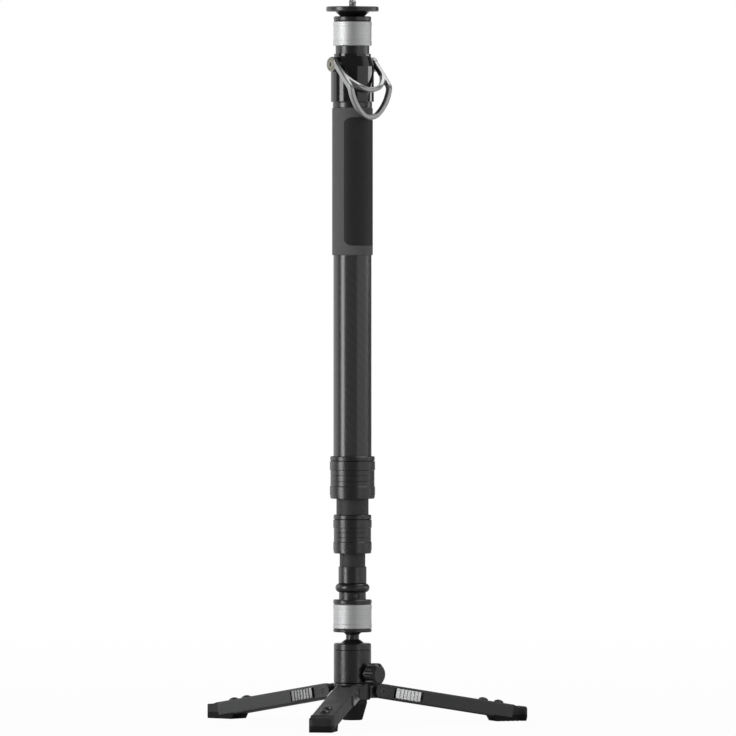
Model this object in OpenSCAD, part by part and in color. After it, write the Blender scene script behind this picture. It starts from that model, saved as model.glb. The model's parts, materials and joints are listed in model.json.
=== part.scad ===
// Camera monopod: a telescopic column on a ball joint, with a three-legged folding base.
// Millimetres, +Z up. The origin is the middle of the centre foot's sole, on the column's axis.
// The legs are drawn open with leg 1 along -Y, and the column is drawn pushed in.

/* [Centre foot and hub] */
// Height of the centre foot's sole above the floor while the legs are open
foot_lift = 3; // [2:0.5:5]
// Height of the centre foot
foot_h = 17; // [15:0.5:20]
// Diameter of the centre foot at its sole
foot_sole_d = 16.8; // [14:0.2:19]
// Diameter of the centre foot under the hub
foot_top_d = 24.4; // [23:0.2:27]
// Diameter of the hub
hub_d = 30; // [27:0.5:31]
// Height of hub below its hinge tongues
hub_floor = 1.15; // [0.6:0.05:2]
// Height of hub above its hinge tongues
hub_roof = 1.55; // [0.8:0.05:4]
// Thickness of the hub's three hinge tongues
tongue_w = 8; // [6:0.2:9]

/* [Ball joint] */
// Wall of the ball housing
housing_wall = 2.08; // [1.5:0.02:3]
// Thickness of the ball housing's floor under the clamp screw
housing_floor = 4.68; // [3.6:0.02:8]
// Height of the housing's screwed cap
cap_h = 5.3; // [4.5:0.1:6]
// Diameter of the ball
ball_d = 25; // [23:0.2:25.4]
// Depth of the ball's centre below the top of the cap
ball_depth = 8; // [7:0.1:9]
// Wall of the nylon cup that the ball turns in
seat_wall = 1; // [0.8:0.1:1.2]
// Diameter of the stem between the ball and the column
stem_d = 11; // [9:0.2:12]
// Clear height of the stem between the cap and the column
stem_gap = 9.3; // [8.5:0.1:14]
// Greatest tilt of the column, in degrees
tilt_max = 20; // [15:1:21]
// Diameter of the clamp knob
knob_d = 19; // [16:0.2:20]
// Length of the clamp knob
knob_len = 10; // [8:0.2:14]
// Length of the clamp knob's neck
knob_neck = 4; // [3.6:0.2:6]
// Diameter of the clamp knob's neck
knob_neck_d = 10.4; // [8:0.2:12]
// Diameter of the clamp screw
clamp_screw_d = 5; // [4:0.2:5.4]

/* [Legs] */
// Room between a leg that stands upright and the lower twist lock
leg_clear = 1.6; // [1.2:0.1:5]
// Distance from the column's axis to a shoe's outer end
leg_reach = 154.5; // [130:0.5:190]
// Width of a leg
leg_w = 19.5; // [17:0.5:21]
// Depth of a leg
leg_h = 12.5; // [11.6:0.1:12.8]
// Height of a leg's middle line above the floor at the shoe's outer end
toe_up = 5.4; // [4.8:0.1:6.4]
// Angle that a folded leg leans out from the column, in degrees
leg_lean = 1.4; // [1.2:0.1:8]
// Diameter of a leg's pivot pin
pin_d = 5; // [4:0.2:6]
// Length of a shoe's toe, beyond the end of the leg's bar
toe_len = 14.5; // [10:0.5:20]
// Length of a shoe's flat sole
sole_len = 28.5; // [22:0.5:40]
// Length of a latch slider
latch_len = 22; // [18:0.5:26]
// Height of a latch slider
latch_h = 8.5; // [7:0.1:9]
// Height of a latch slider's finger pads above the leg's sides
latch_pad = 2; // [1:0.1:3]
// Travel of a latch slider from its free place outwards
latch_travel = 3; // [2:0.5:6]
// Travel of a latch slider from its free place into a notch of the hinge tongue
latch_catch = 1.2; // [0.8:0.1:1.4]
// Diameter of a stop button on a leg
button_d = 8; // [6:0.2:10]
// Height of a stop button above the leg
button_h = 2.3; // [1.5:0.1:3]
// Distance from a shoe's outer end to the nearer button
button_back = 24.7; // [22:0.1:30]
// Distance between a leg's two buttons
button_pitch = 14.1; // [11:0.1:18]

/* [Column] */
// Outside diameter of the main tube
tube_1_d = 32; // [31.4:0.1:32.6]
// Thickness of the guide shim between the main and middle tubes
shim_2_wall = 1.2; // [0.9:0.05:1.5]
// Thickness of the guide shim between the middle and lower tubes
shim_3_wall = 1.45; // [1:0.05:1.8]
// Wall of the tubes
tube_wall = 1.3; // [1:0.1:1.5]
// Length of main tube that shows between its lock and the grip
tube_1_show = 168.4; // [140:0.1:220]
// Length of middle tube that shows between the locks
tube_2_show = 13.5; // [8:0.1:30]
// Length of lower tube that shows above the end sleeve
tube_3_show = 11.1; // [6:0.1:30]
// Length of the guide shims at the tops of the inner tubes
shim_len = 15; // [10:1:20]
// Height of the end sleeve on the lower tube
sleeve_h = 13.9; // [10:0.1:20]
// Wall of the end sleeve
sleeve_wall = 1; // [0.6:0.1:1.8]
// Height of the rubber bumper below the end sleeve
bumper_h = 7.7; // [6:0.1:10]
// Thickness of the rubber bumper round the lower tube
bumper_wall = 3.6; // [2.5:0.1:4.5]

/* [Twist locks] */
// Wall of the upper twist lock's sleeve
lock_1_wall = 0.94; // [0.7:0.02:2]
// Height of the upper twist lock
lock_1_h = 35.5; // [32:0.1:45]
// Wall of the lower twist lock's sleeve
lock_2_wall = 0.59; // [0.5:0.01:1.2]
// Height of the lower twist lock
lock_2_h = 32.4; // [30:0.1:42]
// Wall of the threaded bush around the tube
bush_wall = 1; // [0.8:0.1:1.1]
// Thickness of the rubber band round a twist lock
lock_band = 1; // [0.8:0.1:1.2]
// Height of the bush's flange at the top of a twist lock
lock_flange_h = 4; // [3:0.1:6]

/* [Release couplings] */
// Height of the release rings' outside above the main tube's
ring_proud = 0.15; // [0:0.05:1]
// Wall of the release rings
ring_wall = 3.15; // [2:0.05:4]
// Height of a release ring
ring_h = 20.9; // [18:0.1:26]
// Wall of the sockets' skirts inside the release rings
skirt_wall = 5; // [4:0.1:6]
// Height of the flange under the lower release ring
base_flange_h = 2.6; // [2:0.1:4]
// Height of the flange above the lower release ring
socket_flange_h = 3.7; // [2.5:0.1:5]
// Height of the neck above that flange
socket_neck_h = 6; // [4:0.1:9]
// Width of the shoulder of that neck outside the lower tube
socket_shoulder = 0.55; // [0:0.05:1.2]
// Diameter of the locking balls
lock_ball_d = 4; // [3:0.1:4.4]

/* [Grip and collar] */
// Height of the grip
grip_h = 123.5; // [90:0.5:160]
// Thickness of the grip
grip_wall = 1.05; // [0.9:0.05:2]
// Depth of the grip's darker panel
panel_depth = 0.5; // [0.3:0.1:0.6]
// Half the angle that the grip's darker panel covers
panel_half = 62; // [45:1:70]
// Height of the grip left bare above and below the panel
panel_end = 8; // [5:0.5:20]
// Height of the metal ring on top of the grip
grip_ring_h = 4; // [2:0.1:6]
// Thickness of that ring
grip_ring_wall = 0.5; // [0.4:0.05:1]
// Height of the collar's straight part
collar_h = 30; // [26:0.5:40]
// Wall of the collar
collar_wall = 2.1; // [1.7:0.1:2.5]
// Height of the collar's sloping shoulder
shoulder_h = 10.5; // [8:0.1:14]
// Height of the neck above the shoulder
neck_h = 6.5; // [4:0.1:10]
// Distance of the neck above the shoulder from the main tube's bore
neck_inset = 0.55; // [0.2:0.05:1]

/* [Carry loop] */
// Direction that the loop and the grip's panel face, in degrees from +X
front_turn = -43; // [-180:1:180]
// Height of the loop's pivot above the collar's straight part
loop_pivot_up = 1.5; // [0:0.1:3]
// Width of the loop's bar
loop_bar = 4.4; // [3.6:0.1:5]
// Depth of the loop's bar, square to its face
loop_deep = 4.8; // [4:0.1:5]
// Drop from the pivot to the middle of the loop's lowest bar
loop_drop = 44.4; // [42:0.1:55]
// Distance from the collar to the middle of the loop's hanging part
loop_stand = 6.4; // [5.9:0.1:12]
// Angle of the loop's arms from the upright, in degrees
loop_lean = 45; // [43:1:47]
// Distance that the arms' middle line passes in front of the pivot
loop_ahead = 5; // [4.6:0.1:5.2]
// Radius of the loop's lower end, at the middle of the bar
loop_end_r = 13; // [11:0.1:15]
// Diameter of the loop's eyes
loop_eye_d = 12.6; // [11:0.1:14]
// Drop from the pivot to the middle of the loop's cross bar
loop_cross_drop = 21.4; // [20.5:0.1:23]
// Diameter of the loop's pivot screws
loop_screw_d = 5; // [4:0.1:6]

/* [Head] */
// Diameter of the flange above the upper release ring
plug_flange_d = 31.4; // [28:0.1:34]
// Height of that flange
plug_flange_h = 3.9; // [3:0.1:6]
// Height of the cone under the camera plate
cone_h = 4.2; // [3:0.1:8]
// Diameter of the cone where it meets the flange
cone_low_d = 20; // [16:0.1:24]
// Diameter of the cone under the camera plate
cone_top_d = 29.4; // [26:0.1:34]
// Diameter of the camera plate
plate_d = 44; // [40:0.5:60]
// Thickness of the camera plate
plate_h = 4; // [3:0.1:6]
// Thickness of the rubber pad let into the camera plate
pad_h = 1; // [0.6:0.1:1.6]
// Diameter of the camera screw, a quarter inch
stud_d = 6.35; // [5:0.05:9.6]
// Height of the camera screw above the plate
stud_h = 6; // [4:0.1:8]

/* [Fits] */
// Radial clearance of parts that turn or slide on each other
run_fit = 0.06; // [0.04:0.01:0.1]
// Clearance between parts that pass each other
pass_gap = 0.3; // [0.25:0.05:0.4]
// End gap of the release rings between their flanges
face_gap = 0.15; // [0.1:0.05:0.25]

/* [Hidden] */
$fn = 64;
legs = [1, 2, 3];
leg_step = 360 / len(legs);
leg_1_turn = -90;
knob_turn = leg_1_turn + leg_step / 2;
edge = 0.6;
over = 1;

// Diameters that follow the main tube's and the ball's
tube_1_bore = tube_1_d / 2 - tube_wall;
tube_2_d = 2 * (tube_1_bore - shim_2_wall);
tube_2_bore = tube_2_d / 2 - tube_wall;
tube_3_d = 2 * (tube_2_bore - shim_3_wall);
tube_3_bore = tube_3_d / 2 - tube_wall;
lock_1_d = tube_1_d + 2 * (bush_wall + run_fit + lock_1_wall + lock_band);
lock_2_d = tube_2_d + 2 * (bush_wall + run_fit + lock_2_wall + lock_band);
sleeve_d = tube_3_d + 2 * sleeve_wall;
bumper_d = tube_3_d + 2 * bumper_wall;
socket_neck_d = tube_3_d + 2 * socket_shoulder;
ring_d = tube_1_d + 2 * ring_proud;
skirt_d = ring_d - 2 * ring_wall;
plug_d = skirt_d - 2 * skirt_wall;
grip_d = tube_1_d + 2 * grip_wall;
grip_ring_d = tube_1_d + 2 * grip_ring_wall;
collar_d = tube_1_d + 2 * collar_wall;
neck_d = 2 * (tube_1_bore - neck_inset);
loop_out = collar_d / 2 + loop_stand;
ball_r = ball_d / 2;
seat_r = ball_r + run_fit + seat_wall;
bore_r = seat_r + run_fit;
housing_r = bore_r + housing_wall;
clamp_r = clamp_screw_d / 2;
pad_thick = 1.2;

// Hinge tongues and legs' pivots
tongue_inset = 0.4;
tongue_r = leg_h / 2 - tongue_inset;
pivot_up = hub_floor + tongue_r;
hub_h = pivot_up + tongue_r + hub_roof;
pivot_r = lock_2_d / 2 + leg_clear + leg_h / 2;

// Heights of the stack, from the centre foot's sole upwards
z_hub = foot_h;
z_housing = z_hub + hub_h;
bore_floor = z_housing + housing_floor;
clamp_z = bore_floor + pass_gap + clamp_r;
pad_z = clamp_z + clamp_r + pass_gap;
seat_bottom = pad_z + pad_thick + run_fit;
z_ball = seat_bottom + run_fit + seat_wall + ball_r;
z_cap_top = z_ball + ball_depth;
z_cap = z_cap_top - cap_h;
z_pivot = z_hub + pivot_up;
z_base_flange = z_cap_top + stem_gap;
z_lower_ring = z_base_flange + base_flange_h;
z_socket_flange = z_lower_ring + ring_h;
z_socket_neck = z_socket_flange + socket_flange_h;
z_tube_3 = z_socket_neck + socket_neck_h;
z_sleeve = z_tube_3 + bumper_h;
z_lock_2 = z_sleeve + sleeve_h + tube_3_show;
z_lock_2_top = z_lock_2 + lock_2_h;
z_lock_1 = z_lock_2_top + tube_2_show;
z_lock_1_top = z_lock_1 + lock_1_h;
z_grip = z_lock_1_top + tube_1_show;
z_grip_top = z_grip + grip_h;
z_collar = z_grip_top + pass_gap + grip_ring_h + pass_gap;
z_collar_top = z_collar + collar_h;
z_neck = z_collar_top + shoulder_h;
z_upper_ring = z_neck + neck_h;
z_plug_flange = z_upper_ring + ring_h;
z_cone = z_plug_flange + plug_flange_h;
z_plate = z_cone + cone_h;
z_plate_top = z_plate + plate_h;
z_loop = z_collar_top + loop_pivot_up;

// Ball joint
cap_clear = 0.15;
cap_rim = 1.6;
stem_sweep = ball_depth * tan(tilt_max) + stem_d / 2 / cos(tilt_max);
seat_top = z_ball - pass_gap;
knob_start = housing_r + pass_gap;
knob_flutes = 9;
flute_r = 2.4;
flute_depth = 1.2;
knob_dome = 2.6;
stem_flare = 2.4;

// Hub and its screw
foot_rim = 3;
foot_wall = 4.2;
spigot_h = 8;
spigot_r = foot_top_d / 2 - foot_wall;
screw_r = 3;
screw_hex_d = 5;
screw_hex_depth = 2.5;
screw_head_r = 4.8;
screw_head_h = 4;
screw_bite = 2.6;

// Legs, measured from the pivot along the leg
sole_drop = foot_lift + z_pivot;
leg_slope = atan2(sole_drop - toe_up, leg_reach - pivot_r);
leg_fold = 90 + leg_slope - leg_lean;
shoe_end = (leg_reach - pivot_r) / cos(leg_slope);
bar_len = shoe_end - toe_len;
sole_thick = 1.6;
tenon_len = 8;
tenon_inset = 3;
fork_gap = tongue_w + 2 * pass_gap;
fork_floor = 2.6;
fork_depth = tongue_r + fork_floor;
latch_wall = 1.4;
latch_start = fork_depth + latch_wall + latch_catch;
latch_end = latch_start + latch_len;
window_start = latch_start - latch_catch - run_fit;
window_end = latch_end + latch_travel + pass_gap;
nose_h = 5;
nose_tip = tongue_r + pass_gap;
notch_floor = nose_tip - latch_catch - pass_gap;
spring_d = 5;
spring_wire = 0.8;
spring_bore_r = spring_d / 2 + run_fit;
spring_pocket = 12;
spring_seat = window_end + spring_pocket;
spring_in = 8;
leg_edge = 1.6;
rib_count = 7;
rib_depth = 0.8;
toe_top = 2;
toe_low_run = 1.8;
toe_low_rise = 4;
toe_corner = 4;
heel_run = 2.5;
button_rim = 0.9;
button_dome = button_h - button_rim;
button_dome_r = ((button_d / 2) ^ 2 + button_dome ^ 2) / (2 * button_dome);
pin_hex_d = 3;
pin_hex_depth = 1.5;

// Tubes
socket_spigot = 20;
tube_seat = 1;
tube_1_top = z_loop - loop_screw_d / 2 - tube_seat;
end_room = 6;
nest_step = 15;
tube_2_top = tube_1_top - socket_spigot - end_room;
tube_3_top = tube_2_top - nest_step;
shim_slit = 3;

// Twist locks
step_up = 17;
lip_h = 3;
collet_taper = 0.5;
collet_swell = 0.4;
collet_slit = 2;
band_waist = 0.5;
band_groove_r = 0.25;
band_grooves = 2;

// Couplings
ring_r = ring_d / 2;
skirt_r = skirt_d / 2;
plug_r = plug_d / 2;
ring_rim = 4;
ring_waist = 0.2;
plug_short = 1.3;
plug_room = 0.6;
plug_len = ring_h - plug_short;
socket_depth = plug_len + plug_room;
lock_ball_sink = 0.25;
lock_ball_seat = plug_r + lock_ball_d / 2 - lock_ball_sink;
lock_balls = 3;

// Grip panel and collar
panel_corner = 5;
collar_lip = 1.4;
collar_lip_h = 2;

// Carry loop: arms that lean out, a bend, and an end that hangs beside the grip
loop_half = collar_d / 2 + pass_gap + loop_bar / 2;
loop_tail = 3;
loop_bend_r = 6;
loop_bend_out = loop_out - loop_ahead - loop_bend_r;
loop_bend_drop = (cos(loop_lean) * loop_bend_out + loop_bend_r) / sin(loop_lean);
loop_side_drop = 14;
loop_end_drop = loop_drop - loop_end_r;
loop_fall = loop_end_drop - loop_side_drop;
loop_arm_drop = loop_bend_drop - loop_bend_r * sin(loop_lean);
loop_side_r = (loop_half ^ 2 + loop_fall ^ 2 - loop_end_r ^ 2) / (2 * (loop_half - loop_end_r));
loop_turn = atan2(loop_fall, loop_side_r - loop_half);
loop_cross_rise = 12.4;
loop_cross_r = (loop_half ^ 2 + loop_cross_rise ^ 2) / (2 * loop_cross_rise);
loop_cross_turn = asin(loop_half / loop_cross_r);
loop_steps = 10;
loop_trim = 0.1;
loop_cross_trim = 0.3;
loop_edge = 0.9;
loop_nudge = 0.1;
loop_head_r = 4;
loop_head_h = 1.3;
loop_hex_d = 4;
loop_hex_depth = 0.7;

// Camera plate and screw
stud_shoulder = 0.8;
stud_core_r = stud_d / 2 + stud_shoulder;
stud_depth = 12;
pad_in_rim = 3;
pad_out_rim = 2;
pad_in_r = stud_core_r + pad_in_rim;
pad_out_r = plate_d / 2 - pad_out_rim;

// Shared forms

module turned(profile) {
    rotate_extrude() polygon(profile);
}

module pipe(outer, inner, z, h) {
    translate([0, 0, z]) difference() {
        cylinder(r = outer, h = h);
        translate([0, 0, -over]) cylinder(r = inner, h = h + 2 * over);
    }
}

// A turned disc with both rims chamfered
module disc(r, z, h, rim) {
    translate([0, 0, z]) turned([
        [0, 0], [r - rim, 0], [r, rim], [r, h - rim], [r - rim, h], [0, h]
    ]);
}

module rounded_rect(w, h, r) {
    square([w - 2 * r, h], center = true);
    square([w, h - 2 * r], center = true);
    for (x = [-1, 1], y = [-1, 1])
        translate([x * (w / 2 - r), y * (h / 2 - r)]) circle(r = r);
}

// A rod along X from one station to another
module rod_x(r, from, to) {
    translate([from, 0, 0]) rotate([0, 90, 0]) cylinder(r = r, h = to - from);
}

// A flat outline in X and Z, given a width along Y
module across(w) {
    rotate([90, 0, 0]) linear_extrude(w, center = true) children();
}

// A flat outline in Y and Z, run along X
module along(from, to) {
    translate([from, 0, 0]) rotate([90, 0, 90]) linear_extrude(to - from) children();
}

// Turns the column's own front, drawn along +Y, to face front_turn
module to_front(z) {
    translate([0, 0, z]) rotate([0, 0, front_turn - 90]) children();
}

// To a leg's pivot, facing outwards and level
module to_pivot(n) {
    rotate([0, 0, leg_1_turn + leg_step * (n - 1)]) translate([pivot_r, 0, z_pivot]) children();
}

// To a leg's pivot, along the open leg
module to_leg(n) {
    to_pivot(n) rotate([0, leg_slope, 0]) children();
}

module to_knob() {
    rotate([0, 0, knob_turn]) translate([0, 0, clamp_z]) children();
}

// Centre foot and hub

module centre_foot() {
    color("dimgray") difference() {
        turned([
            [0, 0], [foot_sole_d / 2 - edge, 0], [foot_sole_d / 2, edge],
            [foot_top_d / 2, foot_h - foot_rim], [foot_top_d / 2, foot_h], [0, foot_h]
        ]);
        translate([0, 0, foot_h - spigot_h]) cylinder(r = spigot_r, h = spigot_h + over);
    }
}

// A hinge tongue from the side: a bar out of the hub with a round end about the pivot
module tongue_outline() {
    root = pivot_r - hub_d / 4;
    translate([-root, -tongue_r]) square([root, 2 * tongue_r]);
    circle(r = tongue_r);
}

// The pin's bore, and the two notches that the latch drops into when the leg is open or folded
module tongue_cuts() {
    notch_h = nose_h + 2 * pass_gap;
    rotate([90, 0, 0]) cylinder(r = pin_d / 2 + run_fit, h = tongue_w + 2 * over, center = true);
    for (turn = [leg_slope, leg_slope - leg_fold]) rotate([0, turn, 0])
        translate([notch_floor, -tongue_w, -notch_h / 2]) cube([tongue_r, 2 * tongue_w, notch_h]);
}

module hub() {
    color("#2a2a2c") difference() {
        union() {
            disc(hub_d / 2, z_hub, hub_h, edge);
            translate([0, 0, z_hub - spigot_h]) cylinder(r = spigot_r, h = spigot_h + over);
            for (n = legs) to_pivot(n) across(tongue_w) tongue_outline();
        }
        for (n = legs) to_pivot(n) tongue_cuts();
        translate([0, 0, z_hub - spigot_h - over]) cylinder(r = screw_r, h = hub_h + spigot_h + 2 * over);
        translate([0, 0, z_hub - spigot_h - over]) cylinder(r = screw_head_r, h = screw_head_h + over);
    }
}

module hub_screw() {
    head_z = z_hub - spigot_h;
    color("silver") difference() {
        union() {
            translate([0, 0, head_z + pass_gap])
                cylinder(r = screw_head_r - pass_gap, h = screw_head_h - pass_gap);
            translate([0, 0, head_z + pass_gap])
                cylinder(r = screw_r, h = spigot_h + hub_h + screw_bite - pass_gap);
        }
        translate([0, 0, head_z]) cylinder(d = screw_hex_d, h = screw_hex_depth, $fn = 6);
    }
}

// Ball joint

module ball_housing() {
    color("#242426") difference() {
        disc(housing_r, z_housing, z_cap - z_housing, edge);
        translate([0, 0, bore_floor]) cylinder(r = bore_r, h = z_cap - bore_floor + over);
        to_knob() rod_x(clamp_r + run_fit, 0, housing_r + over);
        translate([0, 0, z_housing - over]) cylinder(r = screw_r, h = screw_bite + over);
    }
}

module housing_cap() {
    color("#2c2c2e") difference() {
        rotate_extrude() union() {
            translate([0, z_cap]) square([housing_r - cap_rim, cap_h]);
            translate([0, z_cap]) square([housing_r, cap_h - cap_rim]);
            translate([housing_r - cap_rim, z_cap_top - cap_rim]) circle(r = cap_rim);
            translate([0, z_ball]) square([bore_r - run_fit, z_cap - z_ball]);
        }
        translate([0, 0, z_ball]) sphere(r = ball_r + cap_clear);
        translate([0, 0, z_ball - over]) cylinder(r = stem_sweep + pass_gap, h = ball_depth + 2 * over);
    }
}

module clamp_pad() {
    color("#b5924c") translate([0, 0, pad_z]) cylinder(r = bore_r - run_fit, h = pad_thick);
}

module clamp_screw() {
    color("silver") to_knob() rod_x(clamp_r, -clamp_r, knob_start + knob_neck + knob_len / 2);
}

module clamp_knob() {
    r = knob_d / 2;
    neck_r = knob_neck_d / 2;
    face = knob_start + knob_neck;
    tail = face + knob_len;
    color("#303032") to_knob() difference() {
        rotate([0, 90, 0]) turned([
            [0, knob_start], [neck_r, knob_start], [neck_r, face], [r - edge, face], [r, face + edge],
            [r, tail - knob_dome], [r - knob_dome, tail], [0, tail]
        ]);
        rod_x(clamp_r, 0, face + knob_len / 2);
        for (i = [1 : knob_flutes]) rotate([i * 360 / knob_flutes, 0, 0])
            translate([0, 0, r + flute_r - flute_depth]) rod_x(flute_r, face - over, tail + over);
    }
}

module ball_seat() {
    color("ivory") difference() {
        translate([0, 0, seat_bottom]) cylinder(r = seat_r, h = seat_top - seat_bottom);
        translate([0, 0, z_ball]) sphere(r = ball_r + run_fit);
    }
}

// Lower column, from the ball up

module ball_stem() {
    r = stem_d / 2;
    color("#3a3a3c") difference() {
        union() {
            translate([0, 0, z_ball]) sphere(r = ball_r);
            turned([
                [0, z_ball], [r, z_ball], [r, z_base_flange - stem_flare],
                [r + stem_flare, z_base_flange], [0, z_base_flange]
            ]);
            disc(ring_r, z_base_flange, base_flange_h, edge);
            disc(plug_r, z_lower_ring - over, plug_len + over, edge);
        }
        translate([0, 0, z_lower_ring + ring_h / 2]) rotate_extrude()
            translate([lock_ball_seat, 0]) circle(d = lock_ball_d + 2 * run_fit);
    }
}

module ball_holes(z) {
    for (i = [1 : lock_balls]) translate([0, 0, z]) rotate([0, 0, i * 360 / lock_balls])
        rod_x(lock_ball_d / 2 + run_fit, plug_r - over, skirt_r + over);
}

module coupling_balls(z) {
    color("lightgray") for (i = [1 : lock_balls]) translate([0, 0, z])
        rotate([0, 0, i * 360 / lock_balls]) translate([lock_ball_seat, 0, 0]) sphere(d = lock_ball_d);
}

module lower_socket() {
    color("#2a2a2c") difference() {
        union() {
            translate([0, 0, z_lower_ring + face_gap]) cylinder(r = skirt_r, h = ring_h - face_gap + over);
            disc(ring_r, z_socket_flange, socket_flange_h, edge);
            translate([0, 0, z_socket_neck - over])
                cylinder(r = socket_neck_d / 2, h = socket_neck_h + over);
            translate([0, 0, z_tube_3 - over])
                cylinder(r = tube_3_bore, h = socket_spigot + over);
        }
        translate([0, 0, z_lower_ring - over]) cylinder(r = plug_r + run_fit, h = socket_depth + over);
        ball_holes(z_lower_ring + ring_h / 2);
    }
}

module lower_coupling_balls() {
    coupling_balls(z_lower_ring + ring_h / 2);
}

// A release ring with a shallow band for the fingers between two rims
module release_ring(z) {
    h = ring_h - 2 * face_gap;
    bore = skirt_r + run_fit;
    waist_r = ring_r - ring_waist;
    color("#c9cacc") translate([0, 0, z + face_gap]) turned([
        [bore, 0], [ring_r - edge, 0], [ring_r, edge],
        [ring_r, ring_rim], [waist_r, ring_rim + ring_waist],
        [waist_r, h - ring_rim - ring_waist], [ring_r, h - ring_rim],
        [ring_r, h - edge], [ring_r - edge, h], [bore, h]
    ]);
}

module lower_release_ring() {
    release_ring(z_lower_ring);
}

module lower_tube() {
    color("#46464a") pipe(tube_3_d / 2, tube_3_bore, z_tube_3, tube_3_top - z_tube_3);
}

module end_bumper() {
    r = bumper_d / 2;
    roll = bumper_h / 2;
    color("#1e1e20") difference() {
        translate([0, 0, z_tube_3]) rotate_extrude() union() {
            square([r - roll, bumper_h]);
            translate([r - roll, roll]) circle(r = roll);
        }
        translate([0, 0, z_tube_3 - over]) cylinder(r = tube_3_d / 2, h = bumper_h + 2 * over);
    }
}

module end_sleeve() {
    color("#303033") difference() {
        disc(sleeve_d / 2, z_sleeve, sleeve_h, edge / 2);
        translate([0, 0, z_sleeve - over]) cylinder(r = tube_3_d / 2, h = sleeve_h + 2 * over);
    }
}

// A guide shim bonded on top of an inner tube, slit down both sides
module guide_shim(inner_d, bore, top) {
    color("#d8d4c4") difference() {
        pipe(bore - run_fit, inner_d / 2, top - shim_len, shim_len);
        translate([0, 0, top - shim_len / 2]) cube([2 * bore, shim_slit, shim_len + over], center = true);
    }
}

module lower_guide_shim() {
    guide_shim(tube_3_d, tube_2_bore, tube_3_top);
}

// Twist lock: a threaded bush on the outer tube, a collet on the inner one and a sleeve that closes it

// The collet's outside at its wide end, midway between the two tubes' outsides
function collet_outside(outer_d, inner_d) = (outer_d + inner_d) / 4 + collet_swell;

module lock_bush(z, h, d, outer_d, inner_d) {
    r = outer_d / 2 + bush_wall;
    flange_z = z + h - lock_flange_h;
    collet_r = collet_outside(outer_d, inner_d);
    color("#28282a") difference() {
        union() {
            translate([0, 0, z + lip_h + over]) cylinder(r = r, h = h - lip_h - over);
            disc(d / 2 - edge / 2, flange_z, lock_flange_h, edge);
        }
        translate([0, 0, z + step_up]) cylinder(r = outer_d / 2, h = h);
        translate([0, 0, z]) cylinder(r1 = collet_r, r2 = collet_r - collet_taper, h = step_up);
        translate([0, 0, z + step_up - over]) cylinder(r = collet_r - collet_taper, h = 2 * over);
    }
}

module lock_collet(z, outer_d, inner_d) {
    collet_r = collet_outside(outer_d, inner_d);
    low = lip_h + pass_gap;
    slope = collet_taper / step_up;
    color("#d8d4c4") translate([0, 0, z]) difference() {
        turned([
            [inner_d / 2 + run_fit, low], [collet_r - slope * low, low],
            [collet_r - collet_taper, step_up], [inner_d / 2 + run_fit, step_up]
        ]);
        translate([0, -collet_slit / 2, 0]) cube([outer_d, collet_slit, 2 * step_up]);
    }
}

module lock_sleeve(z, h, d, outer_d, inner_d) {
    r = d / 2 - lock_band;
    bore = outer_d / 2 + bush_wall + run_fit;
    top = h - lock_flange_h - pass_gap;
    color("#2c2c2e") translate([0, 0, z]) difference() {
        union() {
            cylinder(r = r, h = top);
            turned([[0, 0], [r - edge, 0], [d / 2 - edge / 2, edge], [d / 2 - edge / 2, lip_h], [0, lip_h]]);
        }
        translate([0, 0, lip_h]) cylinder(r = bore, h = h);
        translate([0, 0, -over]) cylinder(r = inner_d / 2 + pass_gap, h = lip_h + 2 * over);
    }
}

// The rubber band is waisted, with a ridge at each end and grooves between its finger ribs
module lock_band_form(z, h, d) {
    r = d / 2;
    waist_r = r - band_waist;
    low = lip_h;
    high = h - lock_flange_h - pass_gap;
    ridge = (high - low) / 4;
    groove_pitch = (high - low - 2 * ridge) / (band_grooves + 1);
    color("#1c1c1e") translate([0, 0, z]) difference() {
        turned([
            [r - lock_band, low], [r, low], [r, low + ridge], [waist_r, low + ridge + band_waist],
            [waist_r, high - ridge - band_waist], [r, high - ridge], [r, high], [r - lock_band, high]
        ]);
        for (i = [1 : band_grooves]) translate([0, 0, low + ridge + i * groove_pitch])
            rotate_extrude() translate([waist_r, 0]) circle(r = band_groove_r, $fn = 16);
    }
}

module lower_lock_bush() {
    lock_bush(z_lock_2, lock_2_h, lock_2_d, tube_2_d, tube_3_d);
}

module lower_lock_collet() {
    lock_collet(z_lock_2, tube_2_d, tube_3_d);
}

module lower_lock_sleeve() {
    lock_sleeve(z_lock_2, lock_2_h, lock_2_d, tube_2_d, tube_3_d);
}

module lower_lock_band() {
    lock_band_form(z_lock_2, lock_2_h, lock_2_d);
}

module upper_lock_bush() {
    lock_bush(z_lock_1, lock_1_h, lock_1_d, tube_1_d, tube_2_d);
}

module upper_lock_collet() {
    lock_collet(z_lock_1, tube_1_d, tube_2_d);
}

module upper_lock_sleeve() {
    lock_sleeve(z_lock_1, lock_1_h, lock_1_d, tube_1_d, tube_2_d);
}

module upper_lock_band() {
    lock_band_form(z_lock_1, lock_1_h, lock_1_d);
}

// Middle and main tubes

module middle_tube() {
    foot = z_lock_2 + step_up;
    color("#46464a") pipe(tube_2_d / 2, tube_2_bore, foot, tube_2_top - foot);
}

module middle_guide_shim() {
    guide_shim(tube_2_d, tube_1_bore, tube_2_top);
}

module main_tube() {
    foot = z_lock_1 + step_up;
    color("#46464a") pipe(tube_1_d / 2, tube_1_bore, foot, tube_1_top - foot);
}

// Grip

// The darker panel's space: a sheet on the front of the grip with rounded corners
module panel_space() {
    half_w = grip_d / 2 * sin(panel_half);
    intersection() {
        translate([0, 0, z_grip + panel_end]) pipe(grip_d / 2 + over, grip_d / 2 - panel_depth, 0, grip_h);
        to_front(z_grip + grip_h / 2) translate([0, grip_d / 2, 0])
            across(grip_d) rounded_rect(2 * half_w, grip_h - 2 * panel_end, panel_corner);
    }
}

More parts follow.
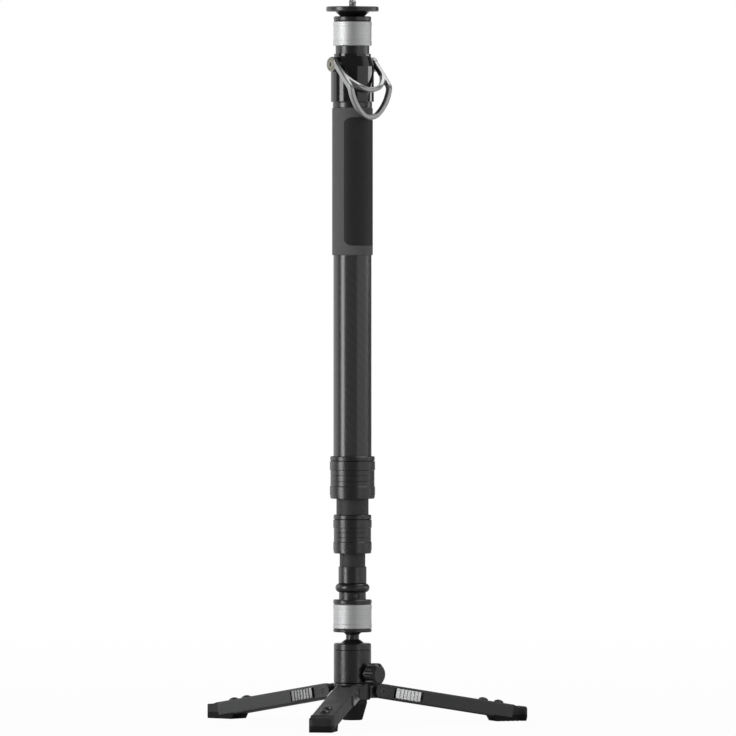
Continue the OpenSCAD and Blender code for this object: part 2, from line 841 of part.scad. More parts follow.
module grip_sleeve() {
    color("#5a5a5c") difference() {
        disc(grip_d / 2, z_grip, grip_h, edge);
        translate([0, 0, z_grip - over]) cylinder(r = tube_1_d / 2, h = grip_h + 2 * over);
        panel_space();
    }
}

module grip_panel() {
    color("#2a2a2b") intersection() {
        panel_space();
        translate([0, 0, z_grip]) cylinder(r = grip_d / 2, h = grip_h);
    }
}

module grip_ring() {
    color("#a8a8a8") difference() {
        disc(grip_ring_d / 2, z_grip_top + pass_gap, grip_ring_h, edge / 3);
        translate([0, 0, z_grip_top]) cylinder(r = tube_1_d / 2, h = grip_ring_h + 2 * over);
    }
}

// Collar and carry loop

module carry_collar() {
    r = collar_d / 2;
    lip_r = neck_d / 2 + collar_lip;
    color("#1c1c1e") difference() {
        union() {
            turned([
                [0, z_collar], [r - edge, z_collar], [r, z_collar + edge], [r, z_collar_top],
                [lip_r, z_neck - collar_lip_h], [lip_r, z_neck], [0, z_neck]
            ]);
            to_front(z_loop) rod_x(loop_eye_d / 2, -r, r);
        }
        translate([0, 0, z_collar - over]) cylinder(r = tube_1_d / 2, h = tube_1_top - z_collar + over);
        translate([0, 0, z_collar]) cylinder(r = neck_d / 2, h = z_neck - z_collar + over);
        to_front(z_loop) rod_x(loop_screw_d / 2, -r - over, r + over);
    }
}

module loop_screws() {
    inner = neck_d / 2 + pass_gap;
    outer = loop_half + loop_bar / 2;
    color("#a09878") to_front(z_loop) for (side = [0, 180]) rotate([0, 0, side]) difference() {
        union() {
            rod_x(loop_screw_d / 2, inner, outer);
            rod_x(loop_head_r - run_fit, outer - loop_head_h + run_fit, outer);
        }
        translate([outer - loop_hex_depth, 0, 0]) rotate([0, 90, 0])
            cylinder(d = loop_hex_d, h = over, $fn = 6);
    }
}

// Points of the loop's middle line are [sideways, outwards, upwards] from the pivot's middle
function loop_point(x, drop) = [x, loop_depth(drop), -drop];

// How far out the bar's middle lies at a drop: a leaning arm, a bend and an upright end
function loop_depth(drop) =
    drop < loop_arm_drop ? loop_ahead + drop * tan(loop_lean) :
    drop < loop_bend_drop ? loop_out - loop_bend_r + sqrt(loop_bend_r ^ 2 - (loop_bend_drop - drop) ^ 2) :
    loop_out;

// One side of the loop, from its eye to the lowest point: straight, then two arcs that run into each other
function loop_half_path() = concat(
    [loop_point(loop_half, -loop_tail), loop_point(loop_half, loop_side_drop)],
    [for (i = [1 : loop_steps]) let (a = loop_turn * i / loop_steps)
        loop_point(loop_half - loop_side_r * (1 - cos(a)), loop_side_drop + loop_side_r * sin(a))],
    [for (i = [1 : loop_steps]) let (a = loop_turn + (90 - loop_turn) * i / loop_steps)
        loop_point(loop_end_r * cos(a), loop_end_drop + loop_end_r * sin(a))]
);

function loop_path() = let (half = loop_half_path(), last = len(half) - 1) concat(
    half, [for (i = [1 : last]) [-half[last - i][0], half[last - i][1], half[last - i][2]]]
);

// The cross bar, an arc that sags between the two arms
function loop_cross_path() = [for (i = [-loop_steps : loop_steps])
    let (a = loop_cross_turn * i / loop_steps)
    loop_point(loop_cross_r * sin(a), loop_cross_drop - loop_cross_r * (1 - cos(a)))];

function unit(v) = v / norm(v);

// The way that the bar's face looks at a drop: square to the leaning arms, and straight out below the bend
function loop_face(drop) =
    unit([0, 2 * loop_nudge, loop_depth(drop + loop_nudge) - loop_depth(drop - loop_nudge)]);

// The bar's section: a rectangle with its corners cut off
function bar_section(w, d) = let (x = w / 2, y = d / 2, c = loop_edge) [
    [x, y - c], [x - c, y], [c - x, y], [-x, y - c], [-x, c - y], [c - x, -y], [x - c, -y], [x, c - y]
];

// The section's corners at a path's station, square to the path
function bar_ring(path, i, section) =
    let (
        ahead = path[min(i + 1, len(path) - 1)],
        behind = path[max(i - 1, 0)],
        along = unit(ahead - behind),
        side = unit(cross(along, loop_face(-path[i][2]))),
        face = cross(side, along)
    )
    [for (corner = section) path[i] + corner[0] * side + corner[1] * face];

// A flat bar along a path, closed at both ends
module flat_bar(path, section) {
    n = len(section);
    last = len(path) - 1;
    points = [for (i = [0 : last]) each bar_ring(path, i, section)];
    walls = [for (i = [0 : last - 1], k = [0 : n - 1]) let (a = i * n + k, b = i * n + (k + 1) % n)
        each [[a, b, a + n], [b, b + n, a + n]]];
    polyhedron(concat(
        points, [path[0], path[last]]
    ), concat(
        walls,
        [for (k = [0 : n - 1]) [(k + 1) % n, k, len(points)]],
        [for (k = [0 : n - 1]) [last * n + k, last * n + (k + 1) % n, len(points) + 1]]
    ));
}

module carry_loop() {
    eye_in = loop_half - loop_bar / 2;
    eye_out = loop_half + loop_bar / 2;
    color("#b9babb") to_front(z_loop) difference() {
        union() {
            flat_bar(loop_path(), bar_section(loop_bar - 2 * loop_trim, loop_deep));
            flat_bar(loop_cross_path(), bar_section(loop_bar, loop_deep - 2 * loop_cross_trim));
            for (side = [0, 180]) rotate([0, 0, side]) rod_x(loop_eye_d / 2, eye_in, eye_out);
        }
        rod_x(loop_screw_d / 2 + run_fit, -eye_out - over, eye_out + over);
        for (side = [0, 180]) rotate([0, 0, side]) rod_x(loop_head_r, eye_out - loop_head_h, eye_out + over);
    }
}

// Head

module head_socket() {
    color("#242426") difference() {
        union() {
            translate([0, 0, tube_1_top - socket_spigot]) cylinder(r = tube_1_bore, h = socket_spigot);
            translate([0, 0, tube_1_top - over])
                cylinder(r = neck_d / 2, h = z_upper_ring - tube_1_top + over);
            translate([0, 0, z_upper_ring - over])
                cylinder(r = skirt_r, h = ring_h - face_gap + over);
        }
        translate([0, 0, z_plug_flange - socket_depth])
            cylinder(r = plug_r + run_fit, h = socket_depth + over);
        ball_holes(z_upper_ring + ring_h / 2);
    }
}

module upper_coupling_balls() {
    coupling_balls(z_upper_ring + ring_h / 2);
}

module upper_release_ring() {
    release_ring(z_upper_ring);
}

module head_plug() {
    color("#2a2a2c") difference() {
        union() {
            disc(plug_r, z_plug_flange - plug_len, plug_len + over, edge);
            disc(plug_flange_d / 2, z_plug_flange, plug_flange_h, edge);
        }
        translate([0, 0, z_upper_ring + ring_h / 2]) rotate_extrude()
            translate([lock_ball_seat, 0]) circle(d = lock_ball_d + 2 * run_fit);
        translate([0, 0, z_plate - stud_depth]) cylinder(r = stud_core_r, h = stud_depth + over);
    }
}

module top_plate() {
    color("#222224") difference() {
        union() {
            translate([0, 0, z_cone]) cylinder(d1 = cone_low_d, d2 = cone_top_d, h = cone_h);
            disc(plate_d / 2, z_plate, plate_h, edge);
        }
        pipe(pad_out_r, pad_in_r, z_plate_top - pad_h, pad_h + over);
        translate([0, 0, z_cone - over]) cylinder(r = stud_core_r, h = cone_h + plate_h + 2 * over);
    }
}

module plate_pad() {
    color("#1a1a1b") pipe(pad_out_r, pad_in_r, z_plate_top - pad_h, pad_h);
}

module camera_stud() {
    color("silver") union() {
        translate([0, 0, z_plate - stud_depth])
            cylinder(r = stud_core_r, h = stud_depth + plate_h);
        translate([0, 0, z_plate_top - over]) cylinder(d = stud_d, h = stud_h + over);
    }
}

// Legs, drawn level along +X from the pivot and then turned into place

// The bar with its rounded hinge end, and a tenon that holds the shoe's toe; it stays clear of the floor
module leg_bar() {
    difference() {
        union() {
            intersection() {
                across(leg_w) {
                    circle(d = leg_h);
                    translate([0, -leg_h / 2]) square([bar_len, leg_h]);
                }
                along(-leg_h, bar_len) rounded_rect(leg_w, leg_h, leg_edge);
            }
            along(bar_len - over, bar_len + tenon_len)
                rounded_rect(leg_w - 2 * tenon_inset, leg_h - 2 * tenon_inset, leg_edge);
        }
        rotate([0, -leg_slope, 0]) translate([0, -leg_w, sole_thick - 2 * sole_drop])
            cube([leg_reach, 2 * leg_w, sole_drop]);
    }
}

module leg(n) {
    window_h = latch_h + 2 * run_fit;
    color("#3c3c3e") to_leg(n) difference() {
        leg_bar();
        translate([-leg_h, -fork_gap / 2, -leg_h]) cube([leg_h + fork_depth, fork_gap, 2 * leg_h]);
        translate([window_start, -leg_w, -window_h / 2])
            cube([window_end - window_start, 2 * leg_w, window_h]);
        translate([0, -tongue_w / 2 - run_fit, -nose_h / 2 - run_fit])
            cube([latch_start + over, tongue_w + 2 * run_fit, nose_h + 2 * run_fit]);
        rod_x(spring_bore_r, window_end - over, spring_seat);
        rotate([90, 0, 0]) cylinder(d = pin_d, h = leg_w + 2 * over, center = true);
    }
}

module leg_pin(n) {
    pin_len = leg_w - edge;
    color("silver") to_leg(n) rotate([90, 0, 0]) difference() {
        cylinder(d = pin_d, h = pin_len, center = true);
        translate([0, 0, pin_len / 2 - pin_hex_depth]) cylinder(d = pin_hex_d, h = pin_len, $fn = 6);
    }
}

// The latch is drawn in its free place: pulled outwards against its spring, with its nose just clear of
// the hinge tongue's rounded end. Let go, it moves in and its nose drops into a notch there
module leg_latch(n) {
    half_w = leg_w / 2 + latch_pad;
    pitch = latch_len / rib_count;
    color("#c4c5c7") to_leg(n) difference() {
        union() {
            along(latch_start, latch_end) rounded_rect(2 * half_w, latch_h, edge);
            translate([nose_tip, -tongue_w / 2, -nose_h / 2])
                cube([latch_start - nose_tip + over, tongue_w, nose_h]);
        }
        for (i = [1 : rib_count - 1], side = [-1, 1])
            translate([latch_start + i * pitch, side * half_w, 0])
                cube([pitch / 2, 2 * rib_depth, latch_h + over], center = true);
        rod_x(spring_bore_r, latch_end - spring_in - latch_travel - pass_gap, latch_end + over);
    }
}

module leg_spring(n) {
    color("silver") to_leg(n) difference() {
        rod_x(spring_d / 2, latch_end - spring_in, spring_seat);
        rod_x(spring_d / 2 - spring_wire, latch_end - spring_in - over, spring_seat + over);
    }
}

// The shoe from the side: a toe beyond the bar and a wedge under it, on a level sole
module shoe_outline() {
    sole_z = -sole_drop;
    nose = leg_reach - pivot_r;
    heel = nose - sole_len;
    slope = tan(leg_slope);
    top = leg_h / 2 / cos(leg_slope);
    polygon([
        [heel - heel_run, -(heel - heel_run) * slope],
        [nose - toe_top, top - (nose - toe_top) * slope], [nose, top - nose * slope - toe_top],
        [nose, sole_z + toe_low_rise], [nose - toe_low_run, sole_z], [heel, sole_z],
        [heel - heel_run, -top - (heel - heel_run) * slope]
    ]);
}

module leg_shoe(n) {
    nose = leg_reach - pivot_r;
    color("#242426") to_pivot(n) difference() {
        intersection() {
            across(leg_w) shoe_outline();
            rotate([0, leg_slope, 0]) along(0, leg_reach)
                translate([0, -leg_h / 2]) rounded_rect(leg_w, 2 * leg_h, leg_edge);
            translate([nose / 2, 0, -2 * sole_drop]) linear_extrude(3 * sole_drop)
                rounded_rect(nose, leg_w, toe_corner);
        }
        rotate([0, leg_slope, 0]) leg_bar();
    }
}

// Two domed stop buttons on top of the leg
module leg_buttons(n) {
    color("#19191a") to_leg(n) for (place = [button_back, button_back + button_pitch])
        translate([shoe_end - place, 0, leg_h / 2]) rotate_extrude() intersection() {
            square([button_d / 2, button_h]);
            translate([0, button_h - button_dome_r]) circle(r = button_dome_r);
        }
}

centre_foot();
hub();
hub_screw();
ball_housing();
housing_cap();
clamp_pad();
clamp_knob();
clamp_screw();
ball_seat();
ball_stem();
lower_socket();
lower_coupling_balls();
lower_tube();
end_bumper();
end_sleeve();
lower_guide_shim();
lower_release_ring();
middle_tube();
middle_guide_shim();
lower_lock_bush();
lower_lock_collet();
lower_lock_sleeve();
lower_lock_band();
main_tube();
upper_lock_bush();
upper_lock_collet();
grip_sleeve();
grip_panel();
grip_ring();
carry_collar();
loop_screws();
head_socket();
upper_coupling_balls();
head_plug();
top_plate();
plate_pad();
camera_stud();
upper_lock_sleeve();
upper_lock_band();
upper_release_ring();
carry_loop();
for (n = legs) leg(n);
for (n = legs) leg_shoe(n);
for (n = legs) leg_buttons(n);
for (n = legs) leg_pin(n);
for (n = legs) leg_spring(n);
for (n = legs) leg_latch(n);
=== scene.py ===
"""Looks of a camera monopod: finishes for its construction, and the pieces that need finer meshes.

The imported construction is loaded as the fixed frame. Metres, +Z up, with the origin under the centre foot.
"""

import json
import math
from collections import namedtuple

import bmesh
import bpy
from bpy.props import FloatProperty, FloatVectorProperty, IntProperty, PointerProperty
from mathutils import Matrix, Vector

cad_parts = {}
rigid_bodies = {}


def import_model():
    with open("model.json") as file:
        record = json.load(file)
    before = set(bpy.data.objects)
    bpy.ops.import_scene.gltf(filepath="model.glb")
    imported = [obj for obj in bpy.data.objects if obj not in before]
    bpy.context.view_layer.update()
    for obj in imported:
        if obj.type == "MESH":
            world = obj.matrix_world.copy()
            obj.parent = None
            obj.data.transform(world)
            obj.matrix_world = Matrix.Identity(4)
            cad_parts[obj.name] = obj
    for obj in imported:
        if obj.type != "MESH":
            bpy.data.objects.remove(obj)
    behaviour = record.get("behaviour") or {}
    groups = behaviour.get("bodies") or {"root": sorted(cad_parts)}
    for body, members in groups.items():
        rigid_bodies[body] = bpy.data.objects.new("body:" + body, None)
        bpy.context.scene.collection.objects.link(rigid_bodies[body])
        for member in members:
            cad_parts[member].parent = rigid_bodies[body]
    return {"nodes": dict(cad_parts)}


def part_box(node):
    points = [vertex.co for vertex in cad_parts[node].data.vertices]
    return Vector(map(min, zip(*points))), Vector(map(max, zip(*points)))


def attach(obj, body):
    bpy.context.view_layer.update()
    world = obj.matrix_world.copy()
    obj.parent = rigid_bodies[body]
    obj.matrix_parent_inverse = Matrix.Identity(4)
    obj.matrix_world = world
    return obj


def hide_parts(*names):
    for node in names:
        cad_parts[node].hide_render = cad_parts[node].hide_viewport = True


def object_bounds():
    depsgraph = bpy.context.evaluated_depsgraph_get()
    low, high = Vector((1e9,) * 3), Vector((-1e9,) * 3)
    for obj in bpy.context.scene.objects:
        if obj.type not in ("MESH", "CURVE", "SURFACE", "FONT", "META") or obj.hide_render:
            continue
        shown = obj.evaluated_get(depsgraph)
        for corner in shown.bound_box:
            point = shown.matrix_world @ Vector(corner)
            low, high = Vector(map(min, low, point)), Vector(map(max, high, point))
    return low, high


bl_info = {
    "name": "Camera monopod",
    "version": (1, 0, 0),
    "blender": (4, 5, 0),
    "location": "3D View > Sidebar > Monopod",
    "description": "Finishes and fine pieces of a camera monopod, built round its construction",
    "category": "Object",
}

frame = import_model()
NODES = frame["nodes"]
CAD_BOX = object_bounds()

MM = 0.001
LEGS = (1, 2, 3)
LEG_STEP = math.radians(120)
LEG_1_TURN = math.radians(-90)
FRONT_TURN = math.radians(-43)
INNER_TUBES = ("lower_tube", "middle_tube")
TURNED = (
    "hub", "ball_housing", "housing_cap", "ball_stem", "lower_socket", "end_sleeve", "lower_lock_bush",
    "lower_lock_sleeve", "upper_lock_bush", "upper_lock_sleeve", "head_socket", "head_plug", "top_plate",
)
SILVER = ("lower_release_ring", "upper_release_ring")
STEEL = ("hub_screw", "clamp_screw", "lower_coupling_balls", "upper_coupling_balls")
NYLON = ("ball_seat", "lower_guide_shim", "middle_guide_shim", "lower_lock_collet", "upper_lock_collet")
RUBBER = ("end_bumper", "lower_lock_band", "upper_lock_band")

# Area lamps round the object: degrees from the camera, distance, height, size of the face and watts
Lamp = namedtuple("Lamp", "name turn reach height wide tall watts")
LAMPS = (
    Lamp("key_panel", turn=-61, reach=2.2, height=0.5, wide=0.84, tall=1.8, watts=26),
    Lamp("left_panel", turn=-123, reach=2.0, height=0.5, wide=2.1, tall=2.0, watts=13),
    Lamp("right_panel", turn=67, reach=2.2, height=0.6, wide=3.7, tall=2.2, watts=16.4),
    Lamp("right_strip", turn=109, reach=2.2, height=0.54, wide=1.3, tall=0.14, watts=2.4),
    Lamp("low_panel", turn=-61, reach=2.0, height=0.13, wide=0.6, tall=0.25, watts=0.9),
    Lamp("latch_strip", turn=40, reach=1.0, height=0.035, wide=0.3, tall=0.06, watts=0.1),
)


def low(node):
    """Lowest corner of a construction node's box"""
    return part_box(node)[0]


def high(node):
    """Highest corner of a construction node's box"""
    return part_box(node)[1]


def half_width(node):
    """Half the width of a construction node along X"""
    return (high(node).x - low(node).x) / 2


def leg_turn(n):
    """Angle of a leg from +X"""
    return LEG_1_TURN + LEG_STEP * (n - 1)


def leg_way(n):
    """The way that a leg points, level"""
    return Vector((math.cos(leg_turn(n)), math.sin(leg_turn(n)), 0))


# Settings

def colour(name, about, red, green, blue):
    return FloatVectorProperty(
        name=name, description=about, subtype="COLOR", size=3, min=0, max=1, default=(red, green, blue)
    )


def length(name, about, metres):
    return FloatProperty(name=name, description=about, unit="LENGTH", precision=5, min=0, default=metres)


def angle(name, about, degrees):
    return FloatProperty(name=name, description=about, subtype="ANGLE", default=math.radians(degrees))


def count(name, about, number):
    return IntProperty(name=name, description=about, min=1, default=number)


def amount(name, about, value):
    return FloatProperty(name=name, description=about, min=0, default=value)


class MonopodFinish(bpy.types.PropertyGroup):
    """Colours and grain of the finishes"""

    tube: colour("Tubes", "Carbon tube under its clear coat", 0.049, 0.049, 0.0505)
    anodised: colour("Turned parts", "Black anodised aluminium", 0.009, 0.009, 0.0094)
    leg: colour("Legs", "Dark grey anodised aluminium", 0.052, 0.053, 0.055)
    silver: colour("Rings and latches", "Silver anodised aluminium", 0.77, 0.775, 0.78)
    loop: colour("Carry loop", "Satin cast metal", 0.45, 0.453, 0.458)
    black_steel: colour("Black steel", "Leg pins and the ring above the grip", 0.09, 0.09, 0.092)
    steel: colour("Steel", "Screws, pins and springs", 0.5, 0.5, 0.49)
    screw: colour("Loop screws", "Plated screw heads", 0.33, 0.32, 0.27)
    bronze: colour("Clamp pad", "Plain bronze", 0.5, 0.36, 0.16)
    nylon: colour("Nylon", "Natural nylon", 0.68, 0.65, 0.56)
    rubber: colour("Rubber", "Moulded black rubber", 0.009, 0.009, 0.0093)
    toe: colour("Shoes", "Dark grey rubber of the shoes", 0.02, 0.02, 0.0206)
    grip: colour("Grip", "Foam rubber", 0.14, 0.14, 0.1415)
    panel: colour("Grip panel", "Fine-grained rubber", 0.03, 0.03, 0.0306)
    collar: colour("Collar", "Gloss black moulding", 0.01, 0.01, 0.0105)
    tow: length("Tow width", "Width of a tow in the tubes' weave", 2.2 * MM)
    grain: length("Grain", "Size of the blasted metal's grain", 0.25 * MM)


class MonopodPieces(bpy.types.PropertyGroup):
    """Sizes of the pieces made here"""

    thread_d: length("Thread diameter", "Outer diameter of the camera screw, 1/4 inch", 6.35 * MM)
    thread_pitch: length("Thread pitch", "Camera screw, 20 threads to the inch", 1.27 * MM)
    thread_depth: length("Thread depth", "Depth of the camera screw's thread", 0.62 * MM)
    pad_hole: length("Pad hole", "Radius of the hole in the plate pad", 7 * MM)
    pad_pitch: length("Pad ridges", "Distance between the plate pad's ridges", 1.6 * MM)
    pad_depth: length("Pad grooves", "Depth of the plate pad's grooves", 0.35 * MM)
    loop_bar: length("Loop bar", "Width of the carry loop's bar", 4.4 * MM)
    loop_deep: length("Loop depth", "Depth of the carry loop's bar, square to its face", 4.8 * MM)
    loop_corner: length("Loop corners", "Rounding of the carry loop's bar", 1.1 * MM)
    loop_eye: length("Loop eye", "Diameter of the carry loop's eyes", 12.6 * MM)
    loop_drop: length("Loop drop", "Drop from the pivot to the lowest bar", 44.4 * MM)
    loop_out: length("Loop distance", "Distance of the hanging part from the column's axis", 24.5 * MM)
    loop_half: length("Loop half width", "Half the distance between the arms", 20.6 * MM)
    loop_lean: angle("Loop lean", "Angle of the arms from the upright", 45)
    loop_ahead: length("Arms ahead", "Distance that the arms pass in front of the pivot", 5 * MM)
    loop_bend: length("Loop bend", "Radius of the bend below the arms", 6 * MM)
    loop_side: length("Straight drop", "Drop at which the loop's sides start to close", 14 * MM)
    loop_end: length("Loop end", "Radius of the loop's lower end", 13 * MM)
    loop_sag: length("Cross bar sag", "Drop of the cross bar between its ends and its middle", 12.4 * MM)
    loop_cross: length("Cross bar drop", "Drop from the pivot to the cross bar", 21.4 * MM)
    shoe_edge: length("Shoe edges", "Width of a shoe's rounded edges", 0.8 * MM)
    # Height of the shoes' near-black band: a black sole that also carries painted shade of the undercut
    sole_shade_height: length("Sole height", "Height of a shoe's black sole", 5.4 * MM)
    tread_count: count("Sole grooves", "Grooves across a shoe's sole", 6)
    tread_depth: length("Groove depth", "Depth of a sole's grooves", 0.8 * MM)
    tread_width: length("Groove width", "Width of a sole's grooves", 1.6 * MM)
    spring_wire: length("Spring wire", "Thickness of a latch spring's wire", 0.8 * MM)
    spring_turns: count("Spring turns", "Turns of a latch spring", 11)
    plug_d: length("Neck screw", "Diameter of the set screw in the socket's neck", 5.6 * MM)
    plug_turn: angle("Neck screw turn", "Direction of the set screw from the column's axis", -61)
    neck_r: length("Neck radius", "Radius of the socket's neck at the set screw", 11.3 * MM)


class MonopodStudio(bpy.types.PropertyGroup):
    """The photograph's view, the floor and the lamps"""

    view_turn: angle("View", "Direction of the camera, from the front towards the right", 9.9)
    view_range: length("Distance", "Distance of the camera from the column's axis", 7.9)
    view_height: length("Eye height", "Height of the camera", 0.4)
    aim_height: length("Aim height", "Height that the camera looks at", 0.295)
    view_side: length("Side step", "Shift of the camera and its aim to the right", 0.013)
    view_angle: angle("Field of view", "Angle of the square picture", 4.47)
    floor_size: length("Floor", "Radius of the floor", 2.4)
    floor_gap: length("Floor gap", "Gap that keeps the soles and the floor apart", 0.1 * MM)
    floor_glow: amount("Floor glow", "Share of plain white in the floor near the object", 0.9)
    glow_level: amount("Glow level", "Strength of that white", 1.06)
    ambient: amount("Ambient", "Strength of the plain light from all round", 0.2)
    mirror_shade: amount("Mirrored shade", "Brightness that metal mirrors, except from behind", 0.1)


# Shader nodes

class Finish:
    """A material on Object coordinates, with short calls that add and link its nodes."""

    def __init__(self, name, base, roughness, metallic=0.0):
        self.material = bpy.data.materials.new(name)
        self.material.use_nodes = True
        self.tree = self.material.node_tree
        self.shader = self.tree.nodes["Principled BSDF"]
        self.place = self.add("ShaderNodeTexCoord").outputs["Object"]
        self.base = (*base, 1)
        self.set("Base Color", self.base)
        self.set("Roughness", roughness)
        self.set("Metallic", metallic)

    def add(self, kind, **settings):
        node = self.tree.nodes.new(kind)
        for key, value in settings.items():
            setattr(node, key, value)
        return node

    def feed(self, socket, value):
        if isinstance(value, bpy.types.NodeSocket):
            self.tree.links.new(value, socket)
        else:
            socket.default_value = value

    def set(self, name, value):
        self.feed(self.shader.inputs[name], value)

    def math(self, operation, *values):
        node = self.add("ShaderNodeMath", operation=operation)
        for socket, value in zip(node.inputs, values):
            self.feed(socket, value)
        return node.outputs[0]

    def axis(self, letter):
        return self.split().outputs[letter]

    def split(self):
        node = self.add("ShaderNodeSeparateXYZ")
        self.feed(node.inputs[0], self.place)
        return node

    def turn(self):
        """Angle round the column's axis"""
        parts = self.split()
        return self.math("ARCTAN2", parts.outputs["Y"], parts.outputs["X"])

    def noise(self, size, detail=2.0, stretch=(1, 1, 1)):
        node = self.add("ShaderNodeTexNoise", noise_dimensions="3D")
        self.feed(node.inputs["Vector"], self.scaled(stretch))
        self.feed(node.inputs["Scale"], 1 / size)
        self.feed(node.inputs["Detail"], detail)
        return node.outputs["Fac"]

    def cells(self, size):
        node = self.add("ShaderNodeTexVoronoi", feature="SMOOTH_F1")
        self.feed(node.inputs["Vector"], self.place)
        self.feed(node.inputs["Scale"], 1 / size)
        return node.outputs["Distance"]

    def lines(self, pitch):
        """Fine turned lines, uneven along Z"""
        node = self.add("ShaderNodeTexNoise", noise_dimensions="1D")
        self.feed(node.inputs["W"], self.axis("Z"))
        self.feed(node.inputs["Scale"], 1 / pitch)
        self.feed(node.inputs["Detail"], 3.0)
        return node.outputs["Fac"]

    def scaled(self, stretch):
        node = self.add("ShaderNodeMapping")
        self.feed(node.inputs["Vector"], self.place)
        self.feed(node.inputs["Scale"], stretch)
        return node.outputs["Vector"]

    def span(self, value, start, end, out_low=0.0, out_high=1.0):
        node = self.add("ShaderNodeMapRange")
        for socket, item in zip(node.inputs, (value, start, end, out_low, out_high)):
            self.feed(socket, item)
        return node.outputs["Result"]

    def blend(self, share, first, second):
        node = self.add("ShaderNodeMix", data_type="RGBA")
        self.feed(node.inputs["Factor"], share)
        self.feed(node.inputs[6], first)
        self.feed(node.inputs[7], second)
        return node.outputs[2]

    def shade(self, share, darker, lighter):
        """The base colour, made darker or lighter by a pattern"""
        first = tuple(c * darker for c in self.base[:3]) + (1,)
        second = tuple(min(1, c * lighter) for c in self.base[:3]) + (1,)
        return self.blend(share, first, second)

    def edges(self, radius):
        """1 on edges and 0 on faces"""
        bevel = self.add("ShaderNodeBevel", samples=4)
        self.feed(bevel.inputs["Radius"], radius)
        shape = self.add("ShaderNodeNewGeometry")
        dot = self.add("ShaderNodeVectorMath", operation="DOT_PRODUCT")
        self.feed(dot.inputs[0], bevel.outputs["Normal"])
        self.feed(dot.inputs[1], shape.outputs["Normal"])
        return self.span(dot.outputs["Value"], 0.985, 0.88)

    def relief(self, height, distance, strength=1.0):
        node = self.add("ShaderNodeBump")
        self.feed(node.inputs["Strength"], strength)
        self.feed(node.inputs["Distance"], distance)
        self.feed(node.inputs["Height"], height)
        self.set("Normal", node.outputs["Normal"])


def carbon_tube(name, node, smooth, gloss, finish):
    """Two-by-two twill under a clear coat"""
    made = Finish(name, finish.tube, smooth)
    across = made.math("MULTIPLY", made.turn(), half_width(node) / finish.tow)
    along = made.math("MULTIPLY", made.axis("Z"), 1 / finish.tow)
    step = made.math("ADD", made.math("FLOOR", across), made.math("FLOOR", along))
    over = made.math("LESS_THAN", made.math("FLOORED_MODULO", step, 4.0), 2.0)
    crown_across = made.math("ABSOLUTE", made.math("SINE", made.math("MULTIPLY", across, math.pi)))
    crown_along = made.math("ABSOLUTE", made.math("SINE", made.math("MULTIPLY", along, math.pi)))
    weave = made.add("ShaderNodeMix", data_type="FLOAT")
    made.feed(weave.inputs["Factor"], over)
    made.feed(weave.inputs[2], crown_across)
    made.feed(weave.inputs[3], crown_along)
    fibre = made.noise(0.4 * MM, 3.0, (1, 1, 0.08))
    tone = made.math("ADD", made.math("MULTIPLY", over, 0.5), made.math("MULTIPLY", fibre, 0.5))
    made.set("Base Color", made.shade(tone, 0.92, 1.08))
    made.set("Roughness", made.span(fibre, 0.3, 0.7, smooth, smooth + 0.07))
    made.relief(weave.outputs[0], 0.01 * MM, 0.15)
    made.set("Specular IOR Level", gloss)
    return made.material


def black_anodised(finish):
    """Turned and blasted, with a little wear on its edges"""
    made = Finish("black_anodised", finish.anodised, 0.4, 0.0)
    lines = made.lines(0.22 * MM)
    grain = made.noise(finish.grain, 2.0)
    worn = made.math("MULTIPLY", made.edges(0.35 * MM), made.span(made.noise(3 * MM), 0.35, 0.65))
    made.set("Base Color", made.blend(
        made.math("MULTIPLY", worn, 0.35), made.shade(grain, 0.85, 1.15), (0.2, 0.2, 0.205, 1)
    ))
    made.set("Roughness", made.span(made.noise(6 * MM, 4.0), 0.3, 0.7, 0.26, 0.36))
    made.relief(made.math("ADD", made.math("MULTIPLY", lines, 0.6), grain), 0.008 * MM, 0.3)
    made.set("Specular IOR Level", 0.9)
    return made.material


def leg_metal(finish):
    """Blasted and anodised dark grey"""
    made = Finish("leg_metal", finish.leg, 0.48, 0.0)
    grain = made.noise(finish.grain, 3.0)
    cloud = made.noise(14 * MM, 3.0)
    worn = made.math("MULTIPLY", made.edges(0.5 * MM), made.span(made.noise(4 * MM), 0.3, 0.6))
    made.set("Base Color", made.blend(
        made.math("MULTIPLY", worn, 0.4), made.shade(made.math("ADD", grain, cloud), 0.8, 1.1),
        (0.26, 0.26, 0.265, 1)
    ))
    made.set("Roughness", made.span(cloud, 0.3, 0.7, 0.42, 0.54))
    made.relief(grain, 0.02 * MM, 0.5)
    made.set("Specular IOR Level", 0.6)
    return made.material


def silver_turned(finish):
    """Fine lines round a silver anodised ring"""
    made = Finish("silver_turned", finish.silver, 0.5, 1.0)
    lines = made.lines(0.3 * MM)
    bands = made.lines(2.4 * MM)
    smear = made.noise(9 * MM, 3.0)
    tone = made.math("MULTIPLY", made.math("ADD", lines, bands), 0.5)
    made.set("Base Color", made.shade(tone, 0.82, 1.08))
    made.set("Roughness", made.span(made.math("ADD", lines, smear), 0.6, 1.4, 0.54, 0.62))
    made.relief(lines, 0.012 * MM, 0.5)
    return made.material


def silver_blasted(name, base, smooth, finish):
    """Bright metal with a fine matt grain and rubbed edges"""
    made = Finish(name, base, smooth, 1.0)
    grain = made.noise(finish.grain, 2.0)
    cloud = made.noise(7 * MM, 3.0)
    made.set("Base Color", made.blend(
        made.math("MULTIPLY", made.edges(0.4 * MM), 0.5), made.shade(cloud, 0.88, 1.08), (0.8, 0.8, 0.8, 1)
    ))
    made.set("Roughness", made.span(cloud, 0.3, 0.7, smooth, smooth + 0.1))
    made.relief(grain, 0.01 * MM, 0.5)
    return made.material


